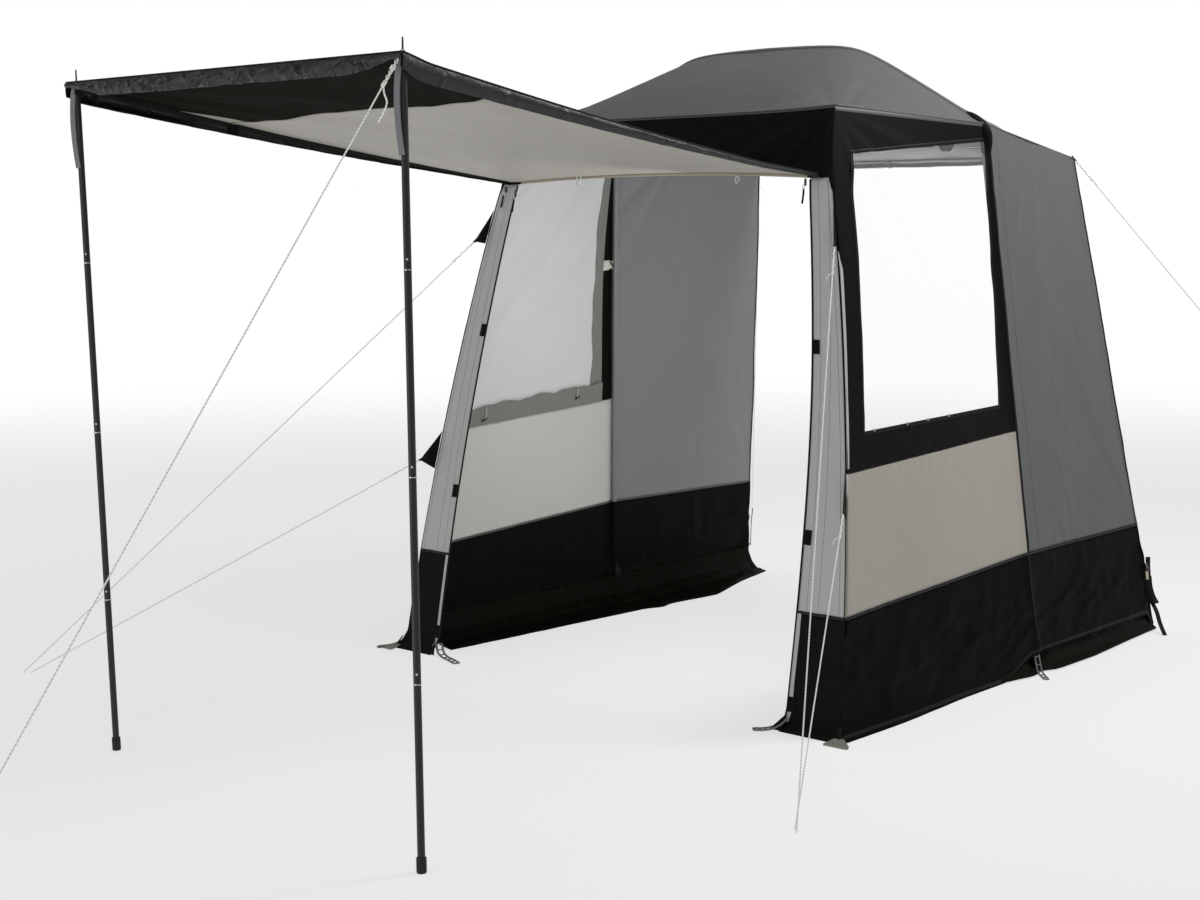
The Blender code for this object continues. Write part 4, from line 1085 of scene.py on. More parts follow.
def dressWall(side):
    wall = walls[side]
    at = surface(wall["grid"], wall["heights"], wallMarks(wall["first"]))
    outside = onSide(np.array((5.0, 1.1, 1.0)), side)
    for name, across, up, width, thick, material, slot, out in wallSeams:
        sewn(side + "_" + name, at, across, up, bandProfile(width, thick), material, slot, out)
    for name, across, radius, material in (("rear_piping", 4.0, 0.0035, seamBlack), ("corner_seam", 0.0, 0.0014, darkSeamAndShadeLine)):
        sewn(side + "_" + name, at, across, span(0.02, 2.09, 160), roundProfile(radius, 8), material, "black_ripstop")
    # the strip's cloth is turned round the corner below the upper guy tab
    w, v = span(0.0, 1.0, 5)[None, :], span(0.0, 1.0, 26)[:, None]
    patch(side + "_strip_return", at, 0.01 + w * 0.19 * (1.0 - 0.8 * smooth(0.9, 1.0, v)), mix(0.88, 1.60, v),
          stripOutside, "silver_ripstop")
    # the pole's black cover laps over the rear panel, wider towards its top
    tall = span(0.0, 1.0, 100)[:, None]
    patch(side + "_leg_cover", at, 3.0 + w * mix(0.014, 0.026, tall), mix(level[1], 2.06, tall), blackOutside, "black_ripstop",
          0.0022)
    # inside the skirt: a strip of webbing near the rear, and a gusset over the foot of the middle seam
    patch(side + "_skirt_web", at, 3.568 + 0.06 * w - 0.008 * v, mix(0.134, 0.363, v), hookTape, "black_ripstop",
          -0.0025, outside)
    patch(side + "_skirt_gusset", at, 3.0 + 0.14 * (w - 0.5) * (1.04 - v), mix(0.03, 0.145, v), webBlack,
          "black_ripstop", -0.0025, outside)
    return at


wallAt = {side: dressWall(side) for side in ("right", "left")}

# Strips beside the doorway: zip, its pale band on the skirt, hook tapes, hems

stripForm = {
    "zip": 0.006,
    "band": 0.017, "bandAt": 0.0095,
    "tapes": ((1.255, 1.303), (0.618, 0.668), (0.060, 0.106)),
    "tapeWidth": 0.030,
}


def dressStrip(side):
    rows = wallRows()
    rows = rows[rows < tentForm["doorTop"] + 1e-6]
    marks = np.concatenate([span(0.0, 0.90, frontForm["stripColumns"]), (0.93, 0.955, 0.975, 1.0)])
    at = surface(strips[side], rows, marks)

    def share(distance, height):
        return distance / np.linalg.norm(cornerLine(height) - postLine(height), axis=-1)

    top, outerCloth = span(0.03, 1.845, 150), side + "_front_strip_cloth"
    sewn(side + "_zip_tape", at, share(0.001, top), top, bandProfile(stripForm["zip"], 0.0018), webBlack,
         "black_ripstop", 0.0006)
    sewn(side + "_zip_coil", at, 0.0, top, roundProfile(0.0034, 8), zipBlack, "black_ripstop", 0.0006)
    sewn(side + "_zip_tape_inner", at, share(0.004, top), top, bandProfile(0.012, 0.0018), webBlack,
         "black_ripstop", -0.0018)
    for low, high in ((0.111, level[1] - 0.004), (0.030, 0.074)):
        up = span(low, high, 24)
        sewn("%s_skirt_band_%d" % (side, low * 1000), at, share(stripForm["bandAt"], up), up,
             bandProfile(stripForm["band"], 0.0016), stripOutside, "silver_ripstop", 0.0008)
    for k, (low, high) in enumerate(stripForm["tapes"]):
        v = span(low, high, 5)[:, None]
        patch("%s_hook_tape_%d" % (side, k), at, share(span(-0.001, stripForm["tapeWidth"], 6)[None, :], v), v,
              hookTape, "black_ripstop", 0.0026, thick=0.0022)
    up = span(level[1] + 0.01, 1.84, 110)
    for name, distance in (("hem_stitch", 0.034), ("mid_stitch", 0.075)):
        sewn(side + "_" + name, at, share(distance, up), up, bandProfile(0.0016, 0.0007), stitchGrey, "silver_ripstop",
             0.0002)
    sewn(side + "_corner_stitch", at, 1.0 - share(0.020, up), up, bandProfile(0.0020, 0.0008), stitchGrey,
         "silver_ripstop", 0.0002)
    sewn(side + "_strip_piping", at, span(0.02, 1.0, 30), level[1], bandProfile(0.010, 0.0030), skirtPiping,
         "grey_ripstop", 0.0012)
    return at


stripAt = {side: dressStrip(side) for side in ("right", "left")}

# Header and roof: bindings, sleeves and piping

s = span(-1.0, 1.0, frontForm["headerColumns"] + 1)
headerAt = surface(header, span(0.0, 1.0, frontForm["headerRows"] + 1), np.sign(s) * (1.0 - (1.0 - np.abs(s)) ** 1.25))
roofFrontAt = surface(roofFront, span(0.0, 1.0, roofForm["frontRows"] + 1), roofColumns())
roofRearAt = surface(roofRear, span(0.0, 1.0, roofForm["rearRows"] + 1), roofColumns())
allAcross = span(-0.995, 0.995, 220)
sewn("front_binding", headerAt, allAcross, 0.982, bandProfile(0.009, 0.0014), roofTape, "grey_ripstop", 0.0008)
sewn("front_bead", headerAt, allAcross, 1.0, roundProfile(0.0032, 8), roofTape, "grey_ripstop", 0.0010)
sewn("door_edge_tape", headerAt, span(-0.785, 0.785, 160), 0.022, bandProfile(0.012, 0.0014), beigeTape, "beige_ripstop", 0.0008)
sewn("arch_piping_front", roofFrontAt, allAcross, 0.976, roundProfile(0.0014, 6), seamGrey, "grey_ripstop", 0.0004)
sewn("arch_piping_rear", roofRearAt, allAcross, 0.021, roundProfile(0.0014, 6), seamGrey, "grey_ripstop", 0.0004)
sewn("rear_edge_piping", roofRearAt, allAcross, 1.0, roundProfile(0.0035, 8), seamBlack, "black_ripstop", 0.0)
for side, sign in (("right", 1.0), ("left", -1.0)):
    up = span(0.01, 0.99, 70)
    sewn(side + "_header_seam", headerAt, sign * span(0.965, 0.90, 70), up, roundProfile(0.0010, 6), darkSeamAndShadeLine,
         "black_ripstop", 0.0006)
    sewn(side + "_eave_bead", roofFrontAt, sign, up, roundProfile(0.0030, 8), roofTape, "grey_ripstop", 0.0005)
    sewn(side + "_rear_eave_bead", roofRearAt, sign, up, roundProfile(0.0022, 8), seamGrey, "grey_ripstop", 0.0003)
    # the corner pole's pocket, closed at its top, and the hood over the arch pole's foot
    z = span(1.78, 2.088, 40)
    end = np.sqrt(np.clip((2.0885 - z) / 0.016, 0.02, 1.0))
    path = cornerLine(z) + np.array((-0.007, 0.007, 0.0))
    settle(sweep(side + "_corner_pocket", onSide(path, side), roundProfile(0.0145, 16), blackOutside, scale=
                 end * smooth(1.74, 1.90, z)), "black_ripstop")
    low, high = middleLine(np.array((1.86, 1.95, 2.025))), archPoint(np.array((0.965, 0.935, 0.900)))
    path = smoothPath(np.concatenate([low + (-0.008, 0.004, 0.0), high - (0.004, 0.0, 0.008)]), 40)
    p = span(0.0, 1.0, 40)
    end = smooth(0.0, 0.45, p) * np.sqrt(np.clip((1.0 - p) / 0.15, 0.02, 1.0)) * (1.0 - 0.25 * smooth(0.6, 1.0, p))
    settle(sweep(side + "_arch_hood", onSide(path, side), roundProfile(0.023, 16), blackOutside, scale=end), "black_ripstop")
    # cloth sleeves inside, round the hidden poles
    for name, low, high, material, slot in (("black", 0.02, 0.455, blackInside, "black_ripstop"),
                                            ("grey", 0.455, 2.03, roofInside, "grey_ripstop")):
        z = span(low, high, 40)
        path = middleLine(z) - np.array((0.0131, 0.0, 0.0))
        settle(sweep(side + "_leg_sleeve_" + name, onSide(path, side), roundProfile(0.0112, 12), material), slot)
    z = span(0.02, 2.062, 70)
    path = cornerLine(z) + np.array((-0.0147, 0.0147, 0.0))
    settle(sweep(side + "_corner_sleeve", onSide(path, side), roundProfile(0.0112, 12), blackInside), "black_ripstop")
sArch = span(0.985, -0.985, 120)
slope = unit(archPoint(sArch + 0.01) - archPoint(sArch - 0.01))
archPath = archPoint(sArch) + np.stack([slope[:, 2], 0 * sArch, -slope[:, 0]], 1) * np.array((1, 0, 1)) * 0.0160
settle(sweep("arch_sleeve", archPath + np.array((0.0, 0.001, 0.0)), roundProfile(0.0112, 12), roofInside), "grey_ripstop")
print("seams made")

# Canopy: seam, corner pockets, eyelets, straps, hook tape on the hems

canopyAt = surface(canopy, stepsBetween((0.0, canopyForm["seam"], 1.0), canopyForm["rows"]),
                   span(-1.0, 1.0, canopyForm["columns"] + 1), belowCanopy)
padInset = 0.024
sewn("canopy_seam", canopyAt, span(-0.995, 0.995, 160), canopyForm["seam"], bandProfile(0.010, 0.0016), seamPale,
     "beige_ripstop", -0.0018)
sewn("canopy_seam_top", canopyAt, span(-0.995, 0.995, 160), canopyForm["seam"], bandProfile(0.010, 0.0016), seamBlack,
     "black_ripstop", 0.0006)
sewn("canopy_front_bead", canopyAt, span(-0.995, 0.995, 160), 1.0, roundProfile(0.0028, 8), seamBlack, "black_ripstop")
strapForm = {
    "leftwards": (-0.741, -0.672),    # along the photograph's rows
    "drop": ((2.146, 0.000), (2.125, 0.006), (2.07, 0.013), (2.00, 0.014), (1.93, 0.009), (1.888, 0.004)),
    "width": 0.016, "thick": 0.0022,
}


def polePoint(side, z):
    # on the middle line of a canopy pole
    top = np.array((canopyForm["half"] - padInset, canopyForm["frontY"] + padInset))
    foot = np.array((0.967, -1.770) if side == "right" else (0.658, -1.630))
    share = np.clip(np.asarray(z, float) / canopyForm["frontZ"], 0.0, 1.0)[..., None]
    flat = mix(foot, top, share)
    return onSide(xyz(flat[..., 0], flat[..., 1], z), side)


def dressCanopy(side):
    sign = 1.0 if side == "right" else -1.0
    edge = span(0.01, 0.998, 160)
    sewn(side + "_canopy_bead", canopyAt, sign, edge, roundProfile(0.0030, 8), seamBlack, "black_ripstop")
    sewn(side + "_canopy_edge_tape", canopyAt, sign * 0.992, edge, bandProfile(0.012, 0.0016), seamBlack,
         "black_ripstop", -0.0018)
    w, v = span(0.0, 1.0, 9)[None, :], span(0.0, 1.0, 9)[:, None]
    for name, out, away in (("top", 0.0016, belowCanopy), ("under", -0.0030, np.array((0.0, -0.7, 9.0)))):
        patch(side + "_corner_pad_" + name, canopyAt, sign * mix(0.87 + 0.05 * (1 - v), 0.998, w), mix(0.938, 0.999, v),
              blackOutside, "black_ripstop", out, away, 0.0014)
    for k, (a, b) in enumerate(((0.885, 0.995), (0.995, 0.885))):
        sewn("%s_pad_stitch_%d" % (side, k), canopyAt, sign * span(a, b, 12), span(0.945, 0.997, 12),
             bandProfile(0.0022, 0.0010), seamGrey, "black_ripstop", -0.0046)
    # the sand lining reaches past the seam along the edge: to the front on the right, to a point on the left
    ahead = span(0.705, 0.985 if side == "right" else 0.82, 60)[:, None]
    inmost = 0.985 - 0.075 * smooth(0.70, 0.99, ahead) if side == "right" else 0.997 - 0.12 * smooth(0.83, 0.68, ahead)
    patch(side + "_edge_lining", canopyAt, sign * mix(inmost, 0.998, w), ahead, canopyUnderGlow,
          "beige_ripstop", -0.0018, np.array((0.0, -0.7, 9.0)))
    pad = polePoint(side, canopyForm["frontZ"])
    for name, z in (("top", 2.1602), ("under", 2.1516)):
        wireRing(side + "_eyelet_" + name, (pad[0], pad[1], z), (0.0075, 0, 0), (0, 0.0075, 0), 0.0018, brightSteel,
                 "coated_steel")
    settle(sweep(side + "_pole_spike", polePoint(side, span(2.162, 2.2032, 6)), roundProfile(0.0034, 12), brightSteel,
                 scale=(1, 1, 1, 1, 0.9, 0.4)), "coated_steel")
    z = span(2.118, 2.150, 8)
    settle(sweep(side + "_pole_cup", polePoint(side, z), roundProfile(0.0150, 18), webBlack), "black_ripstop")
    # a strap for tying the canopy up, doubled, hangs beside the pole
    drop = np.array(strapForm["drop"])
    left = np.array(strapForm["leftwards"] + (0.0,)) * (1.0 if side == "right" else 0.9)
    path = polePoint(side, drop[:, 0]) + left * (drop[:, 1:] + 0.003)
    ahead = np.array((0.672, -0.741, 0.0))
    for name, shift, short in (("front", 0.0016, 6), ("back", -0.0016, 6)):
        line = smoothPath(path[:short], 40) + ahead * (0.0105 + shift)
        piece = sweep("%s_tie_strap_%s" % (side, name), line, bandProfile(strapForm["width"], strapForm["thick"], 0.001),
                      webGrey, ahead)
        settle(piece, "black_ripstop")
    # joints of the four tube sections, each with its spring button
    for k, z in enumerate((0.495, 1.04, 1.585)):
        collar = polePoint(side, span(z, z + 0.0028, 3))
        settle(sweep("%s_pole_joint_%d" % (side, k), collar, roundProfile(0.0111, 18), brightSteel), "coated_steel")
        button = polePoint(side, np.array(z + 0.03))
        bar("%s_pole_button_%d" % (side, k), button + ahead * 0.009, button + ahead * 0.0122, 0.006, 0.006, brightSteel,
            "coated_steel")
    foot = polePoint(side, np.array((0.0006, 0.004, 0.034, 0.0415, 0.0425)))
    settle(sweep(side + "_rubber_foot", foot, roundProfile(0.0140, 20), footRubber, scale=(0.93, 1, 1, 0.97, 0.80)),
           "coated_steel")
    hemAt = surface(hems[side], span(0.0, 1.0, hems[side].shape[0]),
                    stepsBetween((0.0, canopyForm["seam"], 1.0), hemColumns), belowCanopy)
    along = span(0.004, 0.975, 160)[None, :]
    deep = mix(canopyForm["hemRear"], canopyForm["hemFront"], along ** canopyForm["hemPower"])
    patch(side + "_hem_head", hemAt, along, 0.04 + v * np.minimum(0.015 / deep, 0.86), seamBlack, "black_ripstop",
          -0.0026, np.array((5.0 * sign, -0.7, 2.0)))
    patch(side + "_hem_tape", hemAt, 0.672 + 0.011 * (w * 2 - 1), mix(0.12, 0.97, v), hookTape, "black_ripstop",
          -0.0032, np.array((5.0 * sign, -0.7, 2.0)))


for side in ("right", "left"):
    dressCanopy(side)
print("canopy dressed")

# Guy ropes with their tabs

ropeForm = {
    "radius": 0.0023,
    "pegs": {"right": (1.525, -0.86), "left": (-1.84, -1.26)},
    "tabs": {"upper": (1.62, 1.75), "lower": (0.72, 0.87)},
    "reach": 0.085,
    "pegSpacing": 0.02,
    "rearPeg": (1.90, 3.375), "canopyPeg": (0.95, -3.375),
    "doubled": 0.11,        # length of the loop at the top of each rope
}


def ropePiece(name, path, radius=None):
    return settle(sweep(name, path, roundProfile(radius or ropeForm["radius"], 8), guyCord,
                        np.array((0.31, 0.17, 0.93))), "white_rope")


def coil(name, centre, ahead, turns, radius, pitch, strand=0.0015):
    # a knot or lashing: a helix of rope round a line
    ahead = unit(np.asarray(ahead, float))
    side = unit(np.cross(ahead, (0.3, 0.2, 0.9)))
    over = np.cross(ahead, side)
    turn = span(0.0, turns * 2 * math.pi, int(turns * 14))[:, None]
    path = centre + radius * (side * np.cos(turn) + over * np.sin(turn)) + ahead * (turn / (2 * math.pi) - turns / 2) * pitch
    return ropePiece(name, path, strand)


def guy(name, start, end):
    # a taut rope: its upper end is a twisted pair closed by a knot
    start, end = np.array(start, float), np.array(end, float)
    ahead = unit(end - start)
    at = span(0.0, 1.0, 60)[:, None]
    main = ropePiece(name + "_rope", mix(start + ahead * 0.002, end, at))
    side = unit(np.cross(ahead, (0.0, 0.0, 1.0)))
    over = np.cross(side, ahead)
    along = span(0.004, ropeForm["doubled"], 60)[:, None]
    turn = along / 0.030 * 2 * math.pi
    twisted = start + ahead * along + 0.0030 * (side * np.cos(turn) + over * np.sin(turn))
    ropePiece(name + "_doubled_end", twisted, 0.0016)
    coil(name + "_knot", start + ahead * ropeForm["doubled"], ahead, 3, 0.0034, 0.0034)
    tail = smoothPath([start + ahead * ropeForm["doubled"], start + ahead * (ropeForm["doubled"] + 0.008) + side * 0.012,
                       start + ahead * (ropeForm["doubled"] + 0.022) + side * 0.020 - np.array((0, 0, 0.008))], 14)
    ropePiece(name + "_tail", tail, 0.0014)
    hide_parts(name)


def tab(side, level):
    # a triangle of doubled cloth on the front corner, pulled towards the peg
    low, high = ropeForm["tabs"][level]
    peg = np.array(ropeForm["pegs"][side] + (0.0,))
    a, b = onSide(cornerLine(np.array((low, high))), side)
    middle = (a + b) / 2
    flat = unit(peg - middle)
    apex = middle + flat * ropeForm["reach"]
    v, w = span(0.0, 1.0, 17)[:, None, None], span(0.0, 0.965, 19)[None, :, None]
    base = mix(a, b, v) + flat * 0.001
    grid = mix(base, apex, w)
    across = unit(np.cross(b - a, flat))
    grid = grid + across * 0.0018 * np.sin(5.0 * v + 9.0 * w) * np.sin(math.pi * v) * (1 - w)
    name = "%s_%s_guy_tab" % (side, level)
    piece = clothPiece(name + "_cloth", grid, wholeMask(grid), blackOutside, blackOutside,
                       away=middle - across, thick=0.0022)
    declareCloth(settle(piece, "black_ripstop", name), grid, wholeMask(grid))
    bar(name + "_loop", apex - flat * 0.030, apex + flat * 0.004, 0.010, 0.0042, webBlack, "black_ripstop", across)
    return apex + flat * 0.0008, flat


for side, sign in (("right", 1.0), ("left", -1.0)):
    peg = ropeForm["pegs"][side]
    gap = ropeForm["pegSpacing"]
    for height, end in (("upper", peg), ("lower", (peg[0] - gap * sign, peg[1] + gap))):
        start, flat = tab(side, height)
        guy("%s_%s_guy" % (side, height), start, end + (ropeForm["radius"],))
    corner = rearEdge(np.array(sign))
    peg = np.array((ropeForm["rearPeg"][0] * sign, ropeForm["rearPeg"][1], ropeForm["radius"]))
    flat = unit(peg - corner)
    bar(side + "_rear_loop", corner - flat * 0.016, corner + flat * 0.012, 0.010, 0.003, webBlack, "black_ripstop")
    guy(side + "_rear_guy", corner + flat * 0.003, peg)

# The canopy's rope: a long twisted pair, a knot, and a tail that hangs free
pad = polePoint("right", canopyForm["frontZ"])
peg = np.array(ropeForm["canopyPeg"] + (ropeForm["radius"],))
start = pad + np.array((0.0, 0.0, 0.006))
ahead = unit(peg - start)
side = unit(np.cross(ahead, (0.0, 0.0, 1.0)))
over = np.cross(side, ahead)
along = span(0.004, 0.125, 70)[:, None]
for k, shift in enumerate((0.0, math.pi)):
    turn = along / 0.036 * 2 * math.pi + shift
    ropePiece("right_canopy_guy_strand_%d" % k, start + ahead * along + 0.0030 * (side * np.cos(turn) + over * np.sin(turn)))
main = ropePiece("right_canopy_guy_rope", mix(start + ahead * 0.118, peg, span(0.0, 1.0, 80)[:, None]))
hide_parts("right_canopy_guy")
coil("right_canopy_guy_knot", start + ahead * 0.062, ahead, 3, 0.0058, 0.0045)
coil("right_canopy_guy_knot_low", start + ahead * 0.122, ahead, 3, 0.0040, 0.0040)
wireRing("right_canopy_guy_spike_loop", pad + np.array((0, 0, 0.006)), (0.0052, 0, 0), (0, 0.0052, 0), 0.0018, guyCord,
         "white_rope")
exitPoint = start + ahead * 0.122
tailPath = smoothPath([exitPoint, exitPoint + (0.004, -0.002, -0.020), exitPoint + (0.008, 0.004, -0.045),
                       exitPoint + (0.000, -0.002, -0.072), exitPoint + (-0.010, -0.012, -0.098)], 44)
tail = ropePiece("right_canopy_guy_tail", tailPath)
print("ropes made")

# Mud flaps: crinkled film sewn inside the skirts, down to the ground and inwards

flapForm = {
    "shares": (0.06, 1.99), "columns": 264, "rows": 44,
    # share inwards and height: one slopes, the other drops and then lies flat
    "section": {"left": ((0.0, 0.110), (0.10, 0.078), (0.26, 0.038), (0.52, 0.008), (1.0, 0.0)),
                "right": ((0.0, 0.110), (0.012, 0.060), (-0.06, 0.022), (-0.19, 0.004), (0.20, 0.001), (1.0, 0.0))},
    "widths": ((0.06, 0.19), (1.37, 0.31), (1.71, 0.19), (1.99, 0.12)),
    "inset": 0.0062,
}


def flapGrid(side):
    # inwards and down along a curve of five points, with crinkles that lift off the ground
    share = span(*flapForm["shares"], flapForm["columns"])[None, :]
    section = np.array(flapForm["section"][side])
    t = span(0.0, 1.0, flapForm["rows"])[:, None] ** 1.25
    place = np.linspace(0.0, 1.0, len(section)) ** 1.5
    inwards, height = np.interp(t, place, section[:, 0]), np.interp(t, place, section[:, 1])
    # behind the middle seam, where the skirt is lifted, the slack first lies outwards
    inwards = np.where(inwards < 0.0, inwards * smooth(0.72, 1.0, share), inwards)
    width = np.interp(share, *np.array(flapForm["widths"]).T)
    wall = wallPoint(share, np.broadcast_to(height, (len(t), share.shape[1])))
    notch = 0.026 * np.exp(-((share - 1.0) * 1.2 / 0.060) ** 2)
    x = wall[..., 0] - flapForm["inset"] - inwards * width - notch
    u, v = wall[..., 1], inwards * width + height
    seed = 201 if side == "right" else 221
    crush = 0.0032 * ripple(u, v, seed, 0.30, 18) + 0.0018 * ripple(u, v, seed + 1, 0.07, 22)
    crush += 0.0040 * creases(u, v, seed + 2, 70, (0.0, 2.3, 0.0, 0.33), 0.13, 0.008, 0.15, 1.4)
    crush += 0.0022 * creases(u, v, seed + 3, 90, (0.0, 2.3, 0.0, 0.33), 0.05, 0.004, 0.6, 3.0)
    flat = smooth(0.0, 0.10, inwards)
    edge = 0.0015 * ripple(u, u, seed + 4, 0.35, 14) * inwards
    z = np.maximum(height + np.maximum(0.0, crush + 0.0035) * flat * smooth(1.0, 0.9, inwards) + 0.0012, 0.0012)
    x = x - crush * (1.0 - flat) * smooth(0.0, 0.02, inwards) + edge
    return onSide(xyz(x, wall[..., 1] + 0.5 * edge, z), side)


for side, sign in (("right", 1.0), ("left", -1.0)):
    grid = flapGrid(side)
    piece = clothPiece(side + "_mud_flap_film", grid, wholeMask(grid), flapFilm, flapFilm,
                       away=np.array((1.1 * sign, 1.1, -0.6)), thick=0.0008)
    declareCloth(settle(piece, "flap_film", side + "_mud_flap"), grid, wholeMask(grid))
print("mud flaps made")

# The rear door, rolled up under the roof: a spiral of silvery cloth with ties round it

rollForm = {
    "half": 0.74, "y": 1.945, "z": 1.9385,
    "inner": 0.0030, "outer": 0.0168, "pitch": 0.00062,
    "perTurn": 20, "columns": 76,
    "ties": (-0.52, -0.05, 0.42),
}


def rollLine(x):
    # the roll lies straight across under the rear roof, as the frame has it
    return xyz(x, rollForm["y"], rollForm["z"])


def rollGrid():
    # r grows by one pitch a turn; folds and flats are alike for all turns, so that they nest
    turns = (rollForm["outer"] - rollForm["inner"]) / rollForm["pitch"]
    turn = span(0.0, turns, int(turns * rollForm["perTurn"]))[:, None]
    x = span(-rollForm["half"], rollForm["half"], rollForm["columns"])[None, :]
    angle = 2 * math.pi * turn + 0.8 + 2.2 * x
    crush = 0.06 * np.sin(3 * angle + 9 * x) + 0.05 * np.sin(2 * angle - 14 * x + 1.0) + 0.04 * np.sin(5 * angle + 21 * x)
    crush += 0.05 * np.sin(31 * x + 2.0 * np.sin(angle)) + 0.03 * np.sin(73 * x + 2 * angle)
    pinch = sum(np.exp(-((x - tie) / 0.020) ** 2) for tie in rollForm["ties"])
    r = (rollForm["inner"] + rollForm["pitch"] * turn) * (1.0 - 0.05 + crush * 0.8 * (1 - pinch) - 0.12 * pinch)
    middle = rollLine(x[0])[None, :, :]
    return middle + xyz(0.0 * angle, r * np.cos(angle), r * np.sin(angle))


rollSilver = clothMaterial("silver-coated polyester, rear door", "#b4b5b6", 0.30, sheen=0.0, mottle=0.12, thread=0.02,
                           crush=0.9, specular=0.6)
grid = rollGrid()
piece = clothPiece("rear_door_roll_cloth", grid, wholeMask(grid), rollSilver, rollSilver, thick=0.0004)
declareCloth(settle(piece, "silver_ripstop", "rear_door_roll"), grid, wholeMask(grid))
# the door's top hangs from the roof's rear edge down to the roll
s, t = span(-0.92, 0.92, 90)[None, :], span(0.0, 1.0, 9)[:, None]
top = rearEdge(s) - (0.0, 0.004, 0.005)
grid = mix(top, xyz(top[..., 0], rollForm["y"] + 0.006, rollForm["z"] + 0.014), t[..., None])
grid[..., 1] -= 0.004 * np.sin(math.pi * t) * (1 + np.sin(17 * s))
# the door's top is the roll's silver cloth drawn much lighter: painted light
litHeadCloth = clothMaterial("silver-coated polyester, door top", "#e9eaea", 0.50, sheen=0.0, thread=0.0, crush=0.25)
piece = clothPiece("rear_door_head_cloth", grid, wholeMask(grid), litHeadCloth, litHeadCloth, away=np.array((0, 0, 2.0)))
declareCloth(settle(piece, "silver_ripstop"), grid, wholeMask(grid))
# the door's dark hem winds up outermost and shows under the roll; the thin dark band over it is painted shade, the
# shade line over the hem
rollHem = clothMaterial("polyester binding, olive grey", "#33332c", 0.40, sheen=0.0, mottle=0.8, ripstop=0.0, crush=0.9)
x = span(-0.735, 0.735, 150)
for name, angle, wide, material in (("low", 3.55 + 0.10 * np.sin(7 * x) + 0.08 * np.sin(23 * x), 0.017, rollHem),
                                    ("top", 2.10 + 0.12 * np.sin(5 * x + 1), 0.006, darkSeamAndShadeLine)):
    spoke = xyz(0 * x, np.cos(angle), np.sin(angle))
    settle(sweep("roll_hem_" + name, rollLine(x) + 0.0172 * spoke, bandProfile(wide, 0.0012), material, spoke), "black_ripstop")
for k, tie in enumerate(rollForm["ties"]):
    centre = rollLine(np.array(tie))
    turn = span(0.0, 2 * math.pi, 33)[:-1, None]
    path = centre + 0.0160 * (np.array((0, 1, 0)) * np.cos(turn) + np.array((0, 0, 1)) * np.sin(turn))
    settle(sweep("roll_tie_%d" % k, path, bandProfile(0.014, 0.0016), webGrey, path - centre, loop=True), "black_ripstop")
    settle(sweep("roll_toggle_%d" % k, centre + np.array(((-0.012, -0.0180, 0.003), (0, -0.0185, 0.003),
                                                           (0.012, -0.0180, 0.003))), roundProfile(0.0036, 12),
                 greyRubber), "black_ripstop")
# a half-round tab of black cloth hangs from the ceiling, for a lamp
w, v = span(-1.0, 1.0, 17)[None, :], span(0.0, 1.0, 9)[:, None]
grid = xyz(0.343 + 0.040 * w * np.sqrt(1 - 0.8 * v ** 2), 1.76 + 0.003 * np.sin(3 * w) * v, 2.022 - 0.043 * v)
piece = clothPiece("lamp_tab_cloth", grid, wholeMask(grid), webBlack, webBlack, away=np.array((0, 5.0, 2.0)), thick=0.002)
declareCloth(settle(piece, "black_ripstop"), grid, wholeMask(grid))
print("door roll made")

# Curtain: hems, toggles, loops

curtainRows = span(level[2], level[5] + 0.04, 96)
curtainAt = surface(curtain, curtainRows, span(0.0, 1.0, 84))
inwards = -(curtainForm["thick"] + 0.0016)
outOfLeft = np.array((-5.0, 1.1, 1.0))
w, v = span(0.0, 1.0, 9)[None, :], span(0.0, 1.0, 96)[:, None]
lowest, highest = curtainRows[0] + 0.002, curtainRows[-1]
patch("left_curtain_hem_rear", curtainAt, mix(0.91, 1.0, w), mix(lowest, highest, v), curtainHem, "curtain_cloth",
      inwards, outOfLeft, 0.0012)
# between the slack edge and the stile the window frame's facing shows black
v = span(level[4] - 0.008, level[5] + 0.008, 60)[:, None]
patch("left_window_facing", wallAt["left"], mix(1.985 - 1.2 * curtainBow(np.clip((v - level[4]) / (level[5] - level[4]), 0, 1)), 2.05, w),
      v, blackInside, "black_ripstop", -0.0030, outOfLeft)
# the deep lower hem covers the sill; its upper edge is wavy and the cloth is drawn together at the toggles
w, v = span(0.0, 1.0, 190)[None, :], span(0.0, 1.0, 24)[:, None]
toggles = ((0.13, 0.963), (0.80, 0.972))
upper = 0.947 + 0.020 * w + 0.006 * ripple(w, w, 111, 0.35, 12)
share = mix(tentForm["windowFront"][0], tentForm["windowRear"][0], w) + 0.0 * v
height = mix(0.868, upper, v)
grid = wallPoint(share, height)
normals = gridNormals(grid)
normals *= np.sign(normals[..., 0].mean())
u = gridMetres(grid)[0]
folds = 0.0022 * ripple(u, height, 112, 0.09, 20) + 0.0045 * creases(u, height, 113, 60, (0, 1.0, 0.86, 0.96), 0.05, 0.007, -0.9, 1.2)
for place, high in toggles:
    folds = folds + 0.0040 * fan(u, height, (place * u.max(), high), 1.57, 1.5, 9, 0.030, 114)
hemSink = 0.0145 + 0.5 * np.clip(folds, -0.012, 0.010)
curtainHemGrid = flip(grid - normals * hemSink[..., None])
piece = clothPiece("left_curtain_hem_low", curtainHemGrid, wholeMask(curtainHemGrid), curtainHem, curtainHem,
                   away=outOfLeft, thick=0.0012)
declareCloth(settle(piece, "curtain_cloth"), curtainHemGrid, wholeMask(curtainHemGrid))
hemAt = surface(curtainHemGrid, span(0.0, 1.0, 24), span(0.0, 1.0, 190))
whiteCord = ribbedMaterial("braided elastic, white", "#d6d6d2", 0.6, 0.004)
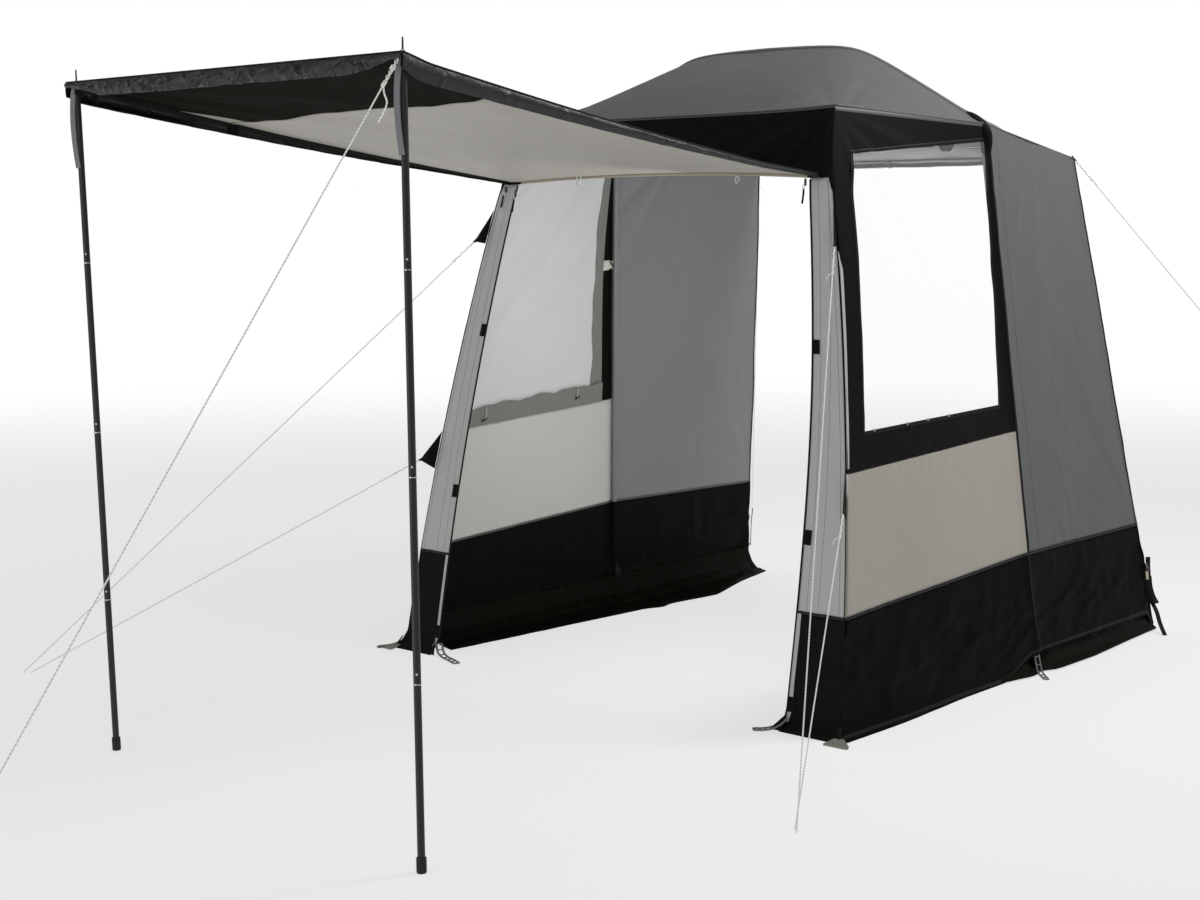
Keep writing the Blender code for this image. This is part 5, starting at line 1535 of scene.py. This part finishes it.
for k, (place, high) in enumerate(toggles):
    high = (0.28, 0.45)[k]
    middle = hemAt(place, high, -0.005)
    along = unit(hemAt(place + 0.02, high + 0.10, -0.005) - hemAt(place - 0.02, high - 0.05, -0.005))
    path = middle + along * span(-0.015, 0.015, 7)[:, None]
    settle(sweep("curtain_toggle_%d" % k, path, roundProfile(0.0042, 12), blackPlastic, scale=(0.6, 0.95, 1, 0.7, 1, 0.95, 0.6)),
           "black_ripstop")
    loop = smoothPath([hemAt(place - 0.004, 0.9, -0.003), hemAt(place - 0.003, 0.6, -0.006), middle,
                       hemAt(place + 0.004, 0.6, -0.006), hemAt(place + 0.006, 0.9, -0.003)], 24)
    settle(sweep("curtain_loop_%d" % k, loop, roundProfile(0.0011, 6), whiteCord), "white_rope")
# the pale tie that holds the curtain crosses the black stile, pinched by its toggle
palePatch = clothMaterial("cotton tape, pale", "#c9c7bb", 0.7, ripstop=0.0)
w, v = span(-1.0, 1.0, 15)[None, :], span(-1.0, 1.0, 9)[:, None]
patch("curtain_tie", wallAt["left"], 2.42 + 0.50 * w, 1.468 + v * (0.013 + 0.009 * np.abs(w)), palePatch, "curtain_cloth",
      -0.0085, outOfLeft, 0.0016)
toggle = wallAt["left"](2.45 + span(-0.32, 0.32, 5), 1.468 + span(0.012, -0.012, 5), -0.0135)
settle(sweep("curtain_tie_toggle", toggle, roundProfile(0.0042, 12), blackPlastic, scale=(0.6, 1, 0.8, 1, 0.6)),
       "black_ripstop")
for k, place in enumerate((1.07, 1.30, 1.447, 1.60)):
    spot = wallAt["right"](place, 0.9915, 0.0025)
    wireRing("window_loop_%d" % k, spot, (0.0, 0.0045, 0), (0, 0, 0.0045), 0.0012, whiteCord, "white_rope")

# Zip pullers and the hooks over the doorway

def puller(name, place, tail, length=0.052):
    # slider, pull and a tab of webbing that hangs from it
    place, tail = np.array(place, float), np.array(tail, float)
    hang = unit(tail - place)
    bar(name + "_slider", place + (0, 0, 0.014), place - (0, 0, 0.010), 0.009, 0.008, blackPlastic, "black_ripstop",
        (0.3, -0.9, 0.1))
    wireRing(name + "_pull", place + hang * 0.015 + (0, -0.006, 0), hang * 0.009, (0.004, 0, 0), 0.0013, brightSteel,
             "coated_steel")
    path = smoothPath([place + hang * 0.020 + (0, -0.006, 0), place + hang * (0.020 + length * 0.5) + (0.002, -0.007, 0),
                       place + hang * (0.020 + length) + (0, -0.006, 0)], 16)
    settle(sweep(name + "_tail", path, bandProfile(0.007, 0.0030), webBlack, (0.5, -0.85, 0.0)), "black_ripstop")


post = postLine(np.array((1.80, 1.815, 1.83, 1.83)))
for name, place, tail in (("near_zip", post[2] + (-0.018, -0.004, 0.004), post[2] + (-0.026, -0.012, -0.1)),
                          ("far_zip_a", flip(post[3]) + (-0.055, -0.008, 0.0), flip(post[3]) + (-0.075, -0.02, -0.1)),
                          ("far_zip_b", flip(post[1]) + (0.004, -0.006, -0.002), flip(post[1]) + (-0.002, -0.02, -0.1))):
    puller(name, place, tail)
for k, (x, high, wide, tall) in enumerate(((-0.376, 1.864, 0.0085, 0.021), (0.392, 1.850, 0.006, 0.012))):
    wireRing("door_hook_%d" % k, (x, frontY(high) - 0.010, high), (wide, 0.002, 0), (0.003, 0, tall), 0.0028, whiteCord,
             "coated_steel")
print("door fittings made")

# Ground fittings: rubber ladder straps, corner plates, rear anchor straps with their buckles

plateRubber = coatedMetal("moulded rubber, olive grey", "#7b7b73", 0.60, 0.0, 0.02)

def ladder(name, points, width, slot="black_ripstop", material=None, up=(0, 0, 1)):
    # two rails joined by rungs, closed at the free end
    material = material or greyRubber
    path = smoothPath(points, 30)
    ahead = unit(np.gradient(path, axis=0))
    side = unit(np.cross(ahead, np.broadcast_to(np.array(up, float), path.shape)))
    rails = np.concatenate([path + side * width * 0.36, (path - side * width * 0.36)[::-1]])
    settle(sweep(name + "_rails", rails, bandProfile(width * 0.28, 0.0048), material, up, loop=True), slot)
    for k in range(4, len(path), 5):
        bar("%s_rung_%d" % (name, k), path[k] - side[k] * (width / 2 - 0.002), path[k] + side[k] * (width / 2 - 0.002),
            0.0052, 0.0040, material, slot, np.cross(ahead[k], side[k]))


def plate(name, outline, hole, radius, thick, material, slot, rise):
    # a flat piece of any outline with a round hole: four rings of points joined round the hole
    outline, hole = np.array(outline, float), np.array(hole, float)
    closed = np.concatenate([outline, outline[:1]])
    along = np.concatenate([[0.0], np.cumsum(np.linalg.norm(np.diff(closed, axis=0), axis=1))])
    place = span(0.0, along[-1], 61)[:-1]
    outer = np.stack([np.interp(place, along, closed[:, 0]), np.interp(place, along, closed[:, 1])], 1)
    inner = hole + radius * unit(outer - hole)
    rings = []
    for flat, z in ((outer, thick), (inner, thick), (inner, 0.0), (outer, 0.0)):
        rings.append(np.concatenate([flat, (z + 0.0008 + rise(flat))[:, None]], 1))
    points = np.concatenate(rings)
    count = len(outer)
    ring, step = np.meshgrid(np.arange(4), np.arange(count), indexing="ij")
    after = (step + 1) % count
    quads = np.stack([ring * count + step, ring * count + after, (ring + 1) % 4 * count + after,
                      (ring + 1) % 4 * count + step], -1).reshape(-1, 4)
    a, b, c, d = (points[quads[:, i]] for i in range(4))
    if ((a * np.cross(b, c)).sum() + (a * np.cross(c, d)).sum()) < 0.0:
        quads = quads[:, ::-1]
    piece = newMesh(name, points, quads.tolist(), points[:, :2], (material,))
    piece.data.set_sharp_from_angle(angle=math.radians(40))
    return settle(piece, slot)


for side, sign in (("right", 1.0), ("left", -1.0)):
    turned = np.array((sign, 1.0, 1.0))
    outline = [(x * sign, y) for x, y in ((1.066, -0.018), (1.078, -0.010), (1.100, -0.018), (1.140, -0.050),
                                          (1.150, -0.068), (1.146, -0.077), (1.062, -0.083), (1.056, -0.076))]
    plate(side + "_corner_plate", outline, (1.082 * sign, -0.056), 0.0055, 0.004, plateRubber, "black_ripstop",
          lambda flat: 0.011 * smooth(0.100, 0.0, np.linalg.norm(flat - np.array((1.074 * sign, 0.0)), axis=1)))
    v, w = span(0.0, 1.0, 7)[:, None, None], span(0.0, 0.97, 7)[None, :, None]
    lean = 0.018 if side == "right" else 0.0
    foot, end = np.array(((0.876 - lean, -0.006, 0.060), (0.876 - lean, -0.036, 0.004))), np.array((0.847 - 2.0 * lean, -0.044, 0.004))
    grid = onSide(mix(mix(foot[0], foot[1], v), end, w), side)
    piece = clothPiece(side + "_foot_gusset_cloth", grid, wholeMask(grid), blackOutside, blackOutside, thick=0.0014)
    declareCloth(settle(piece, "black_ripstop"), grid, wholeMask(grid))
    bar(side + "_corner_plate_web", (1.070 * sign, -0.004, 0.046), (1.084 * sign, -0.024, 0.016), 0.012, 0.003, webBlack,
        "black_ripstop")
    ladder(side + "_middle_strap", np.array(((1.078, 1.268, 0.085), (1.088, 1.262, 0.055), (1.108, 1.246, 0.014),
                                             (1.142, 1.212, 0.005), (1.176, 1.176, 0.005))) * turned, 0.024)
    bar(side + "_middle_strap_web", np.array((1.075, 1.273, 0.115)) * turned, np.array((1.081, 1.268, 0.078)) * turned,
        0.026, 0.004, webBlack, "black_ripstop", (1.0 * sign, -0.3, 0.2))
    # rear corner: a strap from the rear edge to the ground, a buckle with a pale cam, and the strap's tail
    anchor = smoothPath(np.array(((1.050, 2.262, 0.125), (1.095, 2.232, 0.083), (1.130, 2.196, 0.042),
                                  (1.170, 2.160, 0.004))) * turned, 24)
    settle(sweep(side + "_anchor_strap", anchor, bandProfile(0.020, 0.0030), webBlack, (0.6 * sign, -0.4, 0.7)), "black_ripstop")
    upper = smoothPath(np.array(((1.036, 2.262, 0.300), (1.041, 2.258, 0.245), (1.047, 2.262, 0.18),
                                 (1.052, 2.264, 0.115))) * turned, 20)
    settle(sweep(side + "_rear_strap", upper, bandProfile(0.020, 0.0026), webBlack, (0.7 * sign, -0.6, 0.1)), "black_ripstop")
    buckleUp = (0.72 * sign, -0.66, 0.14)
    for name, a, b, width, thick, material in (
            ("frame", (1.041, 2.236, 0.268), (1.047, 2.232, 0.222), 0.020, 0.010, blackPlastic),
            ("cam", (1.048, 2.228, 0.246), (1.054, 2.226, 0.212), 0.013, 0.008, beigePlastic),
            ("lip", (1.041, 2.236, 0.276), (1.054, 2.226, 0.258), 0.018, 0.007, blackPlastic)):
        bar(side + "_buckle_" + name, np.array(a) * turned, np.array(b) * turned, width, thick, material,
            "black_ripstop", buckleUp)
    tail = smoothPath(np.array(((1.052, 2.246, 0.222), (1.056, 2.250, 0.175), (1.066, 2.254, 0.138),
                                (1.088, 2.244, 0.112))) * turned, 24)
    settle(sweep(side + "_buckle_tail", tail, bandProfile(0.022, 0.0024), webBlack, (0.6 * sign, -0.7, 0.3),
                 scale=span(0.9, 1.15, 24)), "black_ripstop")
ladder("right_post_strap", ((0.856, -0.012, 0.040), (0.843, -0.024, 0.024), (0.822, -0.040, 0.010),
                            (0.802, -0.058, 0.005), (0.776, -0.082, 0.005)), 0.036)
ladder("left_post_strap", ((-0.868, 0.006, 0.040), (-0.840, -0.012, 0.014), (-0.800, -0.032, 0.006),
                           (-0.735, -0.055, 0.005), (-0.680, -0.078, 0.005)), 0.032)
ladder("left_corner_strap", ((-1.068, 0.020, 0.060), (-1.088, 0.006, 0.022), (-1.112, -0.020, 0.006),
                             (-1.118, -0.055, 0.005), (-1.120, -0.092, 0.005)), 0.024)
print("ground fittings made")

# Finish of the frame's own poles

nodeFinish = {
    "right_canopy_pole": poleSteel, "left_canopy_pole": poleSteel,
    "roof_hoop_pole": fibreglass, "left_corner_pole": fibreglass, "right_corner_pole": fibreglass,
}
for name, material in nodeFinish.items():
    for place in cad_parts[name].material_slots:
        place.material = material

# Floor, light and camera

stageForm = {
    "floorHalf": 60.0,
    "pale": "#f4f4f3",
    "near": 5.0, "far": 14.0,       # the floor's shade fades out to the backdrop's white between these
    "glow": 0.62,                   # share of that white near the tent
    "sky": 0.42,                    # what lights the tent; the backdrop itself shows as white
    "key": 80.0, "fill": 90.0, "inside": 10.2,
}


def makeFloor():
    half = stageForm["floorHalf"]
    corners = np.array(((-half, -half, 0), (half, -half, 0), (half, half, 0), (-half, half, 0)), float)
    mesh = bpy.data.meshes.new("floor")
    mesh.from_pydata(corners.tolist(), [], [(0, 1, 2, 3)])
    floor = bpy.data.objects.new("floor", mesh)
    bpy.context.scene.collection.objects.link(floor)
    material, tree, shader = newMaterial("painted studio floor, white", stageForm["pale"], 0.9)
    place = addNode(tree, "ShaderNodeTexCoord").outputs["Object"]
    far = addNode(tree, "ShaderNodeVectorMath", {"operation": "LENGTH"}, {0: place})
    fade = addNode(tree, "ShaderNodeMapRange", {"interpolation_type": "SMOOTHSTEP", "From Min": stageForm["near"],
                                                "From Max": stageForm["far"], "To Min": stageForm["glow"]},
                   {"Value": far.outputs["Value"]})
    white = addNode(tree, "ShaderNodeEmission", {"Color": linear("#ffffff"), "Strength": 1.0})
    both = addNode(tree, "ShaderNodeMixShader", None, {0: fade.outputs[0], 1: shader.outputs[0], 2: white.outputs[0]})
    tree.links.new(both.outputs[0], tree.nodes["Material Output"].inputs["Surface"])
    mesh.materials.append(material)


def makeLight(name, place, aim, size, power):
    light = bpy.data.lights.new(name, "AREA")
    light.size, light.energy = size, power
    lamp = bpy.data.objects.new(name, light)
    bpy.context.scene.collection.objects.link(lamp)
    lamp.location = place
    lamp.rotation_mode = "QUATERNION"
    lamp.rotation_quaternion = (Vector(aim) - Vector(place)).to_track_quat("-Z", "Y")
    lamp.visible_camera = False


def makeWorld():
    world = bpy.data.worlds.new("studio")
    world.use_nodes = True
    tree = world.node_tree
    light = tree.nodes["Background"]
    light.inputs["Color"].default_value = linear("#ffffff")
    light.inputs["Strength"].default_value = stageForm["sky"]
    seen = addNode(tree, "ShaderNodeBackground", {"Color": linear("#ffffff"), "Strength": 1.0})
    ray = addNode(tree, "ShaderNodeLightPath")
    both = addNode(tree, "ShaderNodeMixShader", None, {0: ray.outputs["Is Camera Ray"], 1: light.outputs[0],
                                                       2: seen.outputs[0]})
    tree.links.new(both.outputs[0], tree.nodes["World Output"].inputs["Surface"])
    bpy.context.scene.world = world


def makeCamera():
    turn, tilt, roll = cameraForm["turn"], cameraForm["tilt"], cameraForm["roll"]
    ahead = Vector((-math.sin(turn) * math.cos(tilt), math.cos(turn) * math.cos(tilt), math.sin(tilt)))
    right = Vector((math.cos(turn), math.sin(turn), 0.0))
    up = right.cross(ahead)
    rightRolled = math.cos(roll) * right + math.sin(roll) * up
    upRolled = -math.sin(roll) * right + math.cos(roll) * up
    data = bpy.data.cameras.new("camera")
    data.lens, data.sensor_width = cameraForm["lens"], 36.0
    data.clip_start, data.clip_end = 0.05, 300.0
    camera = bpy.data.objects.new("camera", data)
    bpy.context.scene.collection.objects.link(camera)
    turned = Matrix((rightRolled, upRolled, -ahead)).transposed().to_4x4()
    camera.matrix_world = Matrix.Translation(cameraForm["place"]) @ turned
    bpy.context.scene.camera = camera


makeFloor()
makeWorld()
makeLight("key softbox", (2.2, 2.0, 4.2), (0.3, 1.0, 1.8), 1.2, stageForm["key"])
makeLight("fill softbox", (-1.5, -9.0, 1.8), (0.0, 0.5, 1.2), 3.0, stageForm["fill"])
makeLight("inside softbox", (0.45, 0.55, 1.35), (-1.0, 1.5, 1.1), 0.8, stageForm["inside"])
makeCamera()
bpy.context.scene.view_settings.view_transform = "Standard"
print("stage made")
